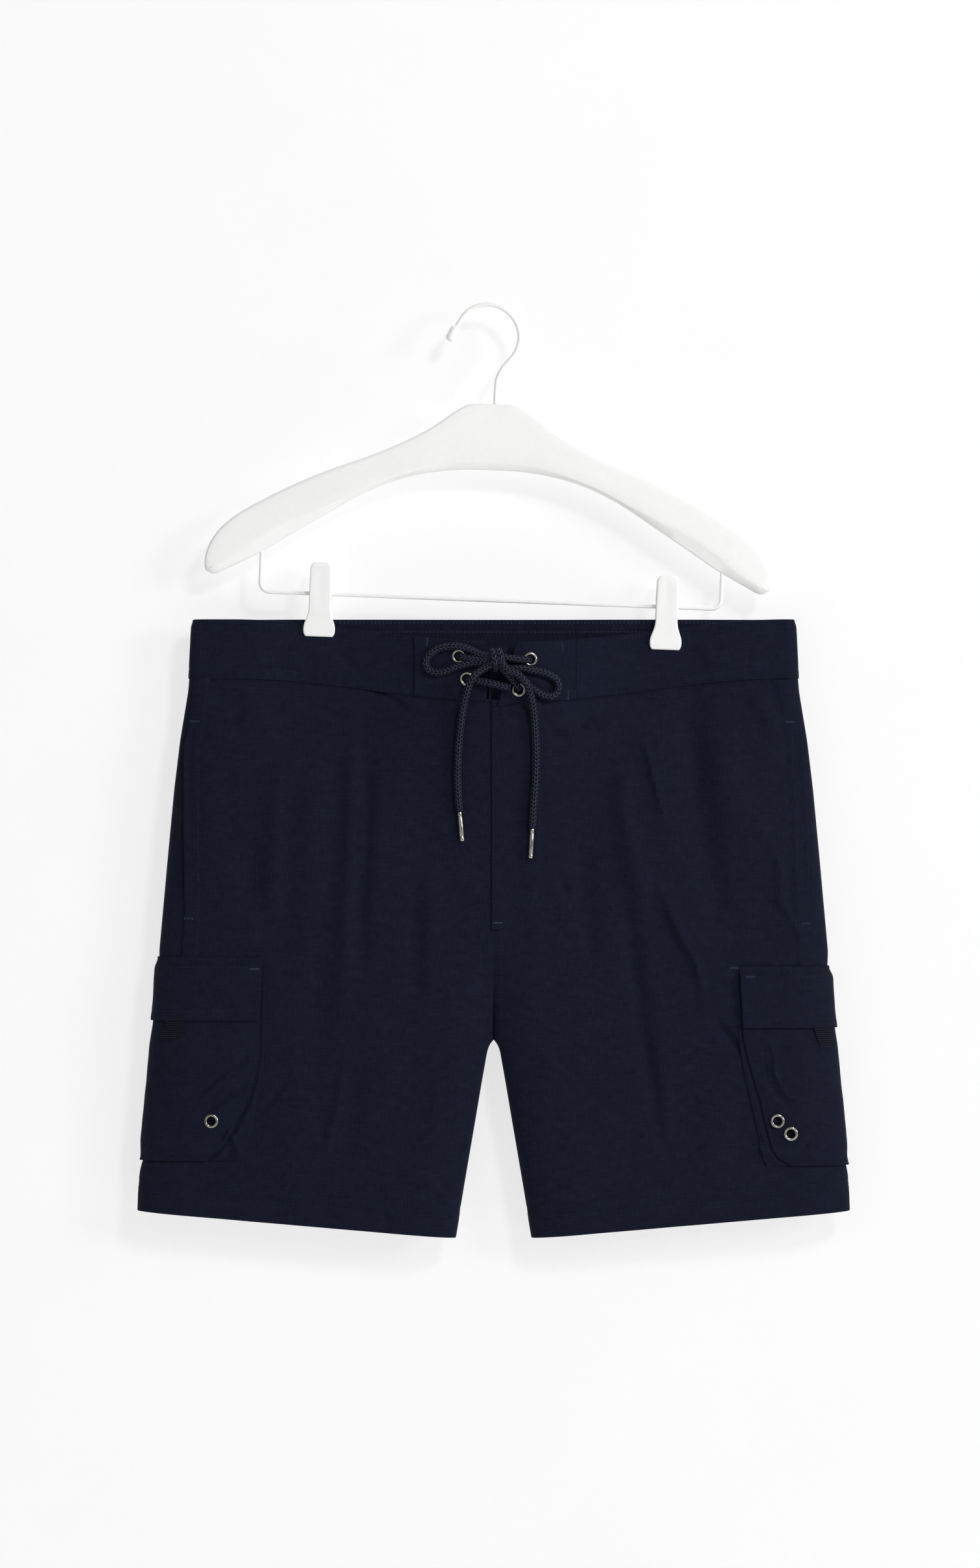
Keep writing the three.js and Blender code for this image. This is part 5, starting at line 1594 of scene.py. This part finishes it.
# Slash pockets
for seamPoints in ([(-218.3, -311.9), (-219.7, -354), (-219.7, -400), (-219.7, -453)],
                   [(224.1, -310.9), (225, -354), (230.3, -394.8), (231.3, -455.4)]):
    rows.append(frontLine(seamPoints, lambda x, z: (panelRelief(x, z, False) + 0.8)
                          * smooth((249 - np.abs(x)) / panelLook["sideFade"])))
# Hem, two rows round each leg
for side in sides.values():
    for above in panelLook["hemRows"]:
        for sign in (1, -1):
            reach = np.linspace(1, 234, 120)
            z = hemFoot(reach, -680) + above
            x = form["centreX"] + side * (outerAt(z) - reach)
            relief = panelRelief(x, z, sign < 0)
            relief = relief * smooth(np.minimum(reach, 237 - reach) / panelLook["sideFade"])
            step = panelLook["hemStep"] * smooth((panelLook["hemRise"] - above) / panelLook["hemSlope"])
            rows.append(skin(side, sign * reach, z, relief + step - 0.08))
# Cargo pockets
for sideName, pocket in pockets.items():
    side = sides[sideName]
    flapLow, flapHigh = pocketLook["flap"]
    bagLift = pocketLook["bag"][1] + 0.02
    flapRow, bagRow = pocketLook["flapRow"], pocketLook["bagRow"]
    for below in pocketLook["rowsBelow"]:
        reach = np.linspace(pocket["flapFront"] - 1.5, -pocket["back"], 90)
        z = pocket["flapTop"] - below + 0 * reach
        pressed = (flapLow - pocketLook["flapGap"]) * sewnDown(pocket, z)
        rows.append(skin(side, reach, z, flapHigh - pressed - 0.02))
    reach = np.linspace(pocket["flapFront"] - flapRow, -pocket["back"] + 6, 90)
    rows.append(skin(side, reach, pocket["flapFoot"] + flapRow + 0 * reach, flapHigh + 0.32))
    z = np.linspace(pocket["flapTop"] - 3, pocket["flapFoot"] + flapRow, 30)
    lift = flapHigh + 0.02 - 2.6 * smooth((z - pocket["bagTop"] + 1) / 8)
    rows.append(skin(side, pocket["flapFront"] - flapRow + 0 * z, z, lift))
    bagFace = byHeight(pocket["rows"], 1, 2)
    gussetFace = byHeight(pocket["rows"], 2, 2)
    foot = pocket["rows"][-1][0]
    z = np.linspace(pocket["flapFoot"] - 1, foot + bagRow, 60)
    rows.append(skin(side, bagFace(z) - bagRow, z, bagLift))
    reach = np.linspace(float(bagFace(foot + 2)) - bagRow, -(pocket["back"] - pocketLook["backCorner"]), 70)
    rows.append(skin(side, reach, foot + bagRow + 0 * reach, bagLift))
    rows.append(skin(side, gussetFace(z) - pocketLook["gussetRow"], z, pocketLook["gusset"][1] - 0.02))
# Reinforcement behind the left cargo pocket, and the centre back seam
rows.append(frontLine([(177, -492.8), (179.5, -529.2), (189.2, -530.1)],
                      lambda x, z: panelRelief(x, z, False) + 0.05, 0.8))
for offset in (-3.2, 3.2):
    z = np.linspace(-279, -540, 120)
    x = form["centreX"] + offset + 0 * z
    side = sideOf(x)
    rows.append(skin(side, -fromX(x, side, z), z, panelRelief(x, z, True) + 0.05))


def sewRows(name, lines, material, inside=False):
    spaced = [stitchPoints(line, stitchLook["pitch"]) for line in lines]
    places = np.vstack(spaced)
    sewn(name, places, np.vstack([tangents(line) for line in spaced]), surfaceNormal(places, inside),
         stitchLook, material)
    return len(places)


stitchCount = sewRows("stitch_rows", rows, thread)
# The inside rows use the lighter thread, painted light against the shade inside the back band
insideRows = [bandLine(down, -200, 215, bandOut, "back", True) for down in (2.4, 9.2)]
stitchCount += sewRows("inside_stitches", insideRows, insideThreadPaintedLight, True)

# The bar tacks use the lighter thread, a painted sheen
# Bar tacks: start, end and the lift of the layer
tacks = [
    ((-46.7, -247.1), (-47.2, -253.2), bandOut), ((-51.1, -282.6), (-51.4, -288.6), bandOut),
    ((52.7, -250.5), (53.6, -256.6), bandOut + 0.1), ((57.2, -286.1), (57.7, -292.9), bandOut),
    ((1.9, -458.6), (9.2, -458.6), flyLift), ((-223.1, -309), (-216.3, -309), 0.85),
    ((-227, -455.4), (-220.7, -455.4), 0.85), ((219.2, -309.4), (228, -309.4), 0.85),
    ((231.3, -459.3), (237.2, -459.3), 0.85), ((-179.4, -492.8), (-171.6, -492.8), 3.6),
    ((189.6, -498.6), (195.9, -498.6), 3.6), ((177.5, -492.3), (184.8, -492.3), 0.1),
]
tackPoints, tackAlong = [], []
for (x0, z0), (x1, z1), lift in tacks:
    count = max(3, int(math.hypot(x1 - x0, z1 - z0) / tackLook["pitch"]))
    x, z = np.linspace(x0, x1, count), np.linspace(z0, z1, count)
    onPanel = z0 < -300 and lift < 3
    fade = smooth((250 - np.abs(x)) / panelLook["sideFade"])
    relief = panelRelief(x, z, False) * fade if onPanel else 0
    line = onFront(x, z, lift + relief)
    direction = tangents(line)
    tackPoints.append(line)
    tackAlong.append(np.cross(direction, surfaceNormal(line)))
tackPoints, tackAlong = np.vstack(tackPoints), np.vstack(tackAlong)
sewn("bar_tacks", tackPoints, tackAlong, surfaceNormal(tackPoints), tackLook, tackThreadPaintedSheen)
print("stitches made:", stitchCount, "and", len(tackPoints))

# Hanger, drawn in its own frame, which leans a little clockwise
hanger = {
    "lean": math.radians(2.18), "axis": 5.3, "thick": 10.0, "edge": 2.6, "wire": 1.7, "bar": 1.5,
    "barZ": -218.5, "barRight": -163.4, "barLeft": 180.1, "barTopRight": -182.0, "barTopLeft": -185.5,
    "barBend": 7.0, "clipRight": -118.3, "clipLeft": 139.8,
}
hangerTop = [
    (0, -72.4), (10, -72.5), (18, -73), (28, -78.6), (46, -91.8), (66.6, -103.3), (87.5, -113),
    (108.6, -121.3), (129.6, -129.9), (150.6, -140), (171.5, -151.4), (189.6, -162.8), (202, -174.7),
    (208.8, -187), (211, -199), (209.9, -204),
]
hangerFoot = [
    (0, -121.5), (22, -122), (44.4, -124.8), (65.5, -130), (83, -136.8), (100.5, -145.8),
    (121.4, -158.8), (149.2, -176.2), (170.8, -189.9), (191, -200.6), (204.3, -206.6), (209.9, -204),
]
# Distance from the axis, height of the lower front facet
hangerFacet = [(0, 5.1), (37, 4.2), (66, 2.6), (108, 2.8), (135, 5.6), (163, 9.3), (185, 8.9), (205, 5)]
hookRoute = [
    (-24.4, -15.2), (-19.6, -7.3), (-15.6, -2.9), (-8.9, 0.4), (-0.2, 1.7), (7.4, 0), (14.6, -4.6),
    (20.1, -11.9), (22.6, -20.7), (21.6, -29.4), (18, -36.4), (13.1, -42.4), (9.4, -48),
    (7.2, -54), (6.6, -61), (6.4, -72.1),
]
hookCap = {"start": (-24.9, -16), "end": (-30.2, -26.6), "radius": 3.5}


def leaned(points):
    c, s = math.cos(hanger["lean"]), math.sin(hanger["lean"])
    points = np.asarray(points, float)
    x = points[..., 0] * c + points[..., 2] * s
    z = -points[..., 0] * s + points[..., 2] * c
    return np.stack([x, points[..., 1], z], -1)


def evenly(points, count):
    line = curveThrough(points, 0.5)
    return atDistances(line, np.linspace(0, distances(line)[-1], count))


# Sections between the top and the foot of each arm: flat faces, eased edges, a facet low on the front
def hangerBody():
    count = 90
    top, foot = evenly(hangerTop, count), evenly(hangerFoot, count)
    edge = hanger["edge"]
    quarter = [k / 5 * math.pi / 2 for k in range(6)]
    quarter = [(1 - math.sin(a), 1 - math.cos(a)) for a in quarter]
    loops = []
    for i in range(count):
        t, f = top[i], foot[i]
        size = np.linalg.norm(f - t)
        down = (f - t) / max(size, 1e-6)
        half = hanger["thick"] / 2 * float(roundOff(clamp((count - 1 - i) / 5 + 0.02)))
        r = min(edge, size / 2.2, half)
        facet = min(np.interp(t[0], *np.array(hangerFacet).T), size * 0.4)
        section = [(r * a, -half + r * b) for a, b in quarter[::-1]]
        section += [(size * 0.3, -half), (size * 0.62, -half)]
        section += [(size - facet - 0.5, -half), (size - facet + 0.5, -half + 0.35)]
        section += [(size - 0.8, -half * 0.45), (size - 0.2, -half * 0.3), (size, -half * 0.1)]
        section += [(size - r * b, half - r * a) for a, b in quarter]
        section += [(size * 0.62, half), (size * 0.3, half)]
        section += [(r * a, half - r * b) for a, b in quarter]
        loops.append([(t[0] + down[0] * d, y, t[1] + down[1] * d) for d, y in section])
    loops = np.array(loops)
    mirrored = loops[:0:-1].copy()
    mirrored[..., 0] *= -1
    whole = np.concatenate([mirrored, loops])
    whole[..., 0] += hanger["axis"]
    whole = leaned(whole)
    sections, around = whole.shape[:2]
    faces = []
    for i in range(sections - 1):
        for j in range(around):
            n = (j + 1) % around
            faces.append((i * around + j, i * around + n, (i + 1) * around + n, (i + 1) * around + j))
    faces.append(tuple(range(around)))
    faces.append(tuple((sections - 1) * around + j for j in range(around))[::-1])
    piece = joined("hanger_body", [(whole.reshape(-1, 3), faces)], plastic, 30)
    finishHard(piece, "hanger_plastic", "hanger_body")


hangerBody()


def flatRoute(route):
    return leaned([(x, 0, z) for x, z in route])


hook = joined("hanger_hook", [tube(curveThrough(flatRoute(hookRoute), 1.2), hanger["wire"], 24)], coatedWire)
finishHard(hook, "hanger_wire", "hanger_hook")
capStart, capEnd = flatRoute([hookCap["start"], hookCap["end"]])
capAxis = capEnd - capStart
capLength = float(np.linalg.norm(capAxis))
r = hookCap["radius"]
capProfile = [(0.02, 0), (r * 0.55, 0), (r * 0.8, 0.4), (r * 0.95, 1.2), (r, 2.4), (r, capLength - 3)]
for k in range(1, 7):
    angle = k / 6 * math.pi / 2
    capProfile.append((max(0.02, r * math.cos(angle)), capLength - 3 + 3 * math.sin(angle)))
cap = joined("hook_cap", [turned(capProfile, capStart, capAxis, 32)], plastic)
finishHard(cap, "hanger_plastic", "hook_cap")


def barLine():
    a, b, low, bend = hanger["barRight"], hanger["barLeft"], hanger["barZ"], hanger["barBend"]
    corner = [(math.cos(t), math.sin(t)) for t in np.linspace(math.pi, 1.5 * math.pi, 9)]
    route = [(a, hanger["barTopRight"]), (a, -196), (a, low + bend + 6)]
    route += [(a + bend + bend * c, low + bend + bend * s) for c, s in corner]
    route += [(x, low) for x in np.linspace(a + 3 * bend, b - 3 * bend, 9)]
    route += [(b - bend - bend * c, low + bend + bend * s) for c, s in corner[::-1]]
    route += [(b, low + bend + 6), (b, -198), (b, hanger["barTopLeft"])]
    return curveThrough(flatRoute(route), 1.3)


bar = joined("hanger_bar", [tube(barLine(), hanger["bar"], 20)], coatedWire)
finishHard(bar, "hanger_wire", "hanger_bar")

# Clip levers: (height above the bar, half width, inner face, thickness)
clipRows = [
    (23, 4.5, 7.7, 2), (22.7, 5.6, 7.65, 2.1), (21.6, 6.8, 7.5, 2.3), (20, 7.6, 7.35, 2.4),
    (18.5, 7.9, 7.2, 2.4), (12, 8.05, 6.5, 2.4), (6, 8.2, 5.8, 2.4), (-3, 8.2, 5.2, 2.4),
    (-11.4, 8.2, 4.4, 2.4), (-15, 8.7, 3.7, 2.5),
    (-18.7, 9.9, 2.9, 2.6), (-22.5, 11.3, 2.3, 2.8), (-25, 11.8, 2.3, 2.8), (-27, 11.9, 2.3, 2.8),
    (-29.5, 11.6, 2.3, 2.7), (-31, 10.9, 2.3, 2.6), (-31.7, 10.4, 2.3, 2.3), (-32, 9.8, 2.3, 1.8),
]
clipLook = {"edge": 0.9, "dish": 0.5, "hub": 4.6, "bore": 1.85, "hubLength": 13.0, "coil": 0.45, "turns": 6}


def clipLever(name, x, sign):
    share = np.array([-1, -0.97, -0.92, -0.84, -0.6, -0.3, 0, 0.3, 0.6, 0.84, 0.92, 0.97, 1])
    outer, inner = [], []
    for up, half, face, thick in clipRows:
        distance = (1 - np.abs(share)) * half
        ease = (thick / 2 - 0.1) * (1 - roundOff(distance / clipLook["edge"]))
        hollow = clipLook["dish"] * smooth(1 - np.abs(share) / 0.7)
        hollow = hollow * smooth((up + 6) / 10) * smooth((20 - up) / 6)
        z = hanger["barZ"] + up + 0 * share
        outer.append(np.stack([x + half * share, sign * (face + thick - ease - hollow), z], -1))
        inner.append(np.stack([x + half * share, sign * (face + ease), z], -1))
    piece = shell(name, leaned(np.array(outer)), leaned(np.array(inner)), plastic)
    finishHard(piece, "hanger_plastic", name)


for sideName, clipX in (("right", hanger["clipRight"]), ("left", hanger["clipLeft"])):
    clipLever(f"clip_front_{sideName}", clipX, -1)
    clipLever(f"clip_back_{sideName}", clipX, 1)
    half = clipLook["hubLength"] / 2
    radius, bore = clipLook["hub"], clipLook["bore"]
    profile = [(bore, -half), (radius - 0.4, -half), (radius, -half + 0.4), (radius, half - 0.4),
               (radius - 0.4, half), (bore, half)]
    centre = leaned([(clipX, 0, hanger["barZ"])])[0]
    axis = leaned([(1, 0, 0)])[0]
    angles = np.linspace(0, clipLook["turns"] * 2 * math.pi, clipLook["turns"] * 20)
    ring = radius + clipLook["coil"] - 0.1
    springX = clipX + mix(-half + 1, half - 1, angles / angles[-1])
    spring = np.stack([springX, ring * np.cos(angles), hanger["barZ"] + ring * np.sin(angles)], -1)
    hub = joined(f"clip_hub_{sideName}", [turned(profile, centre, axis, 32)], plastic)
    finishHard(hub, "hanger_plastic", f"clip_hub_{sideName}")
    coil = joined(f"clip_spring_{sideName}", [tube(leaned(spring), clipLook["coil"], 8)], metal)
    finishHard(coil, "nickel")
print("hanger made")

# Stage: a pale wall that shows only from its front, a pale floor, and soft light
stageLook = {
    "wallY": 0.0235, "floorZ": -1.15, "size": 4.0, "wallTone": 0.28, "wallSpread": 0.006,
    "wallGlow": 0.705, "wallGrain": 220.0, "wallRough": (0.85, 0.95),
    "world": 0.20, "target": (0, 0, -0.4),
}
# Name, place, size and power of each light
stageLights = [
    ("key", (1.15, -2.15, 1.15), 0.42, 31.0), ("rake", (4.6, -2.8, 0.9), 1.2, 110.0),
    ("fill", (-1.6, -2.5, 0.2), 1.6, 6.0), ("rear", (0.9, 2.4, 0.8), 1.4, 45.0),
]


def wallMaterial():
    material, tree, shader = startMaterial("paleWall", {
        "Specular IOR Level": 0.0, "Emission Color": (1.0, 1.0, 1.0, 1),
        "Emission Strength": stageLook["wallGlow"],
    })
    place = addNode(tree, "ShaderNodeTexCoord").outputs["Object"]
    group = useGroup(tree, grain, Vector=place, Scale=stageLook["wallGrain"])
    tone, spread = stageLook["wallTone"], stageLook["wallSpread"]
    rampTo(tree, shader, group.outputs["Tone"], (tone - spread,) * 3, (tone + spread,) * 3, 0.3, 0.7)
    roughen(tree, shader, group.outputs["Tone"], *stageLook["wallRough"])
    through = addNode(tree, "ShaderNodeBsdfTransparent")
    blend = addNode(tree, "ShaderNodeMixShader")
    behind = addNode(tree, "ShaderNodeNewGeometry").outputs["Backfacing"]
    shadow = addNode(tree, "ShaderNodeLightPath").outputs["Is Shadow Ray"]
    tree.links.new(math2(tree, "MAXIMUM", behind, shadow), blend.inputs["Fac"])
    tree.links.new(shader.outputs[0], blend.inputs[1])
    tree.links.new(through.outputs[0], blend.inputs[2])
    tree.links.new(blend.outputs[0], tree.nodes["Material Output"].inputs["Surface"])
    return material


def stagePlane(name, corners, material):
    mesh = bpy.data.meshes.new(name)
    mesh.from_pydata(corners, [], [(0, 1, 2, 3)])
    mesh.materials.append(material)
    placed(name, mesh)


size, wallY, floorZ = stageLook["size"], stageLook["wallY"], stageLook["floorZ"]
wallCorners = [(-size, wallY, floorZ), (size, wallY, floorZ), (size, wallY, size), (-size, wallY, size)]
floorCorners = [(x, y, floorZ) for x, y in ((-size, -size), (size, -size), (size, size), (-size, size))]
stagePlane("wall", wallCorners, wallMaterial())
stagePlane("floor", floorCorners, grainMaterial("paleFloor", floorLook))


def areaLight(name, place, size, power):
    data = bpy.data.lights.new(name, "AREA")
    data.size = size
    data.energy = power
    light = placed(name, data)
    light.location = place
    aim = Vector(stageLook["target"]) - Vector(place)
    light.rotation_euler = aim.to_track_quat("-Z", "Y").to_euler()


for stageLight in stageLights:
    areaLight(*stageLight)
world = bpy.data.worlds.new("studio")
bpy.context.scene.world = world
world.use_nodes = True
world.node_tree.nodes["Background"].inputs["Color"].default_value = (1.0, 1.0, 1.0, 1)
world.node_tree.nodes["Background"].inputs["Strength"].default_value = stageLook["world"]
print("stage made")
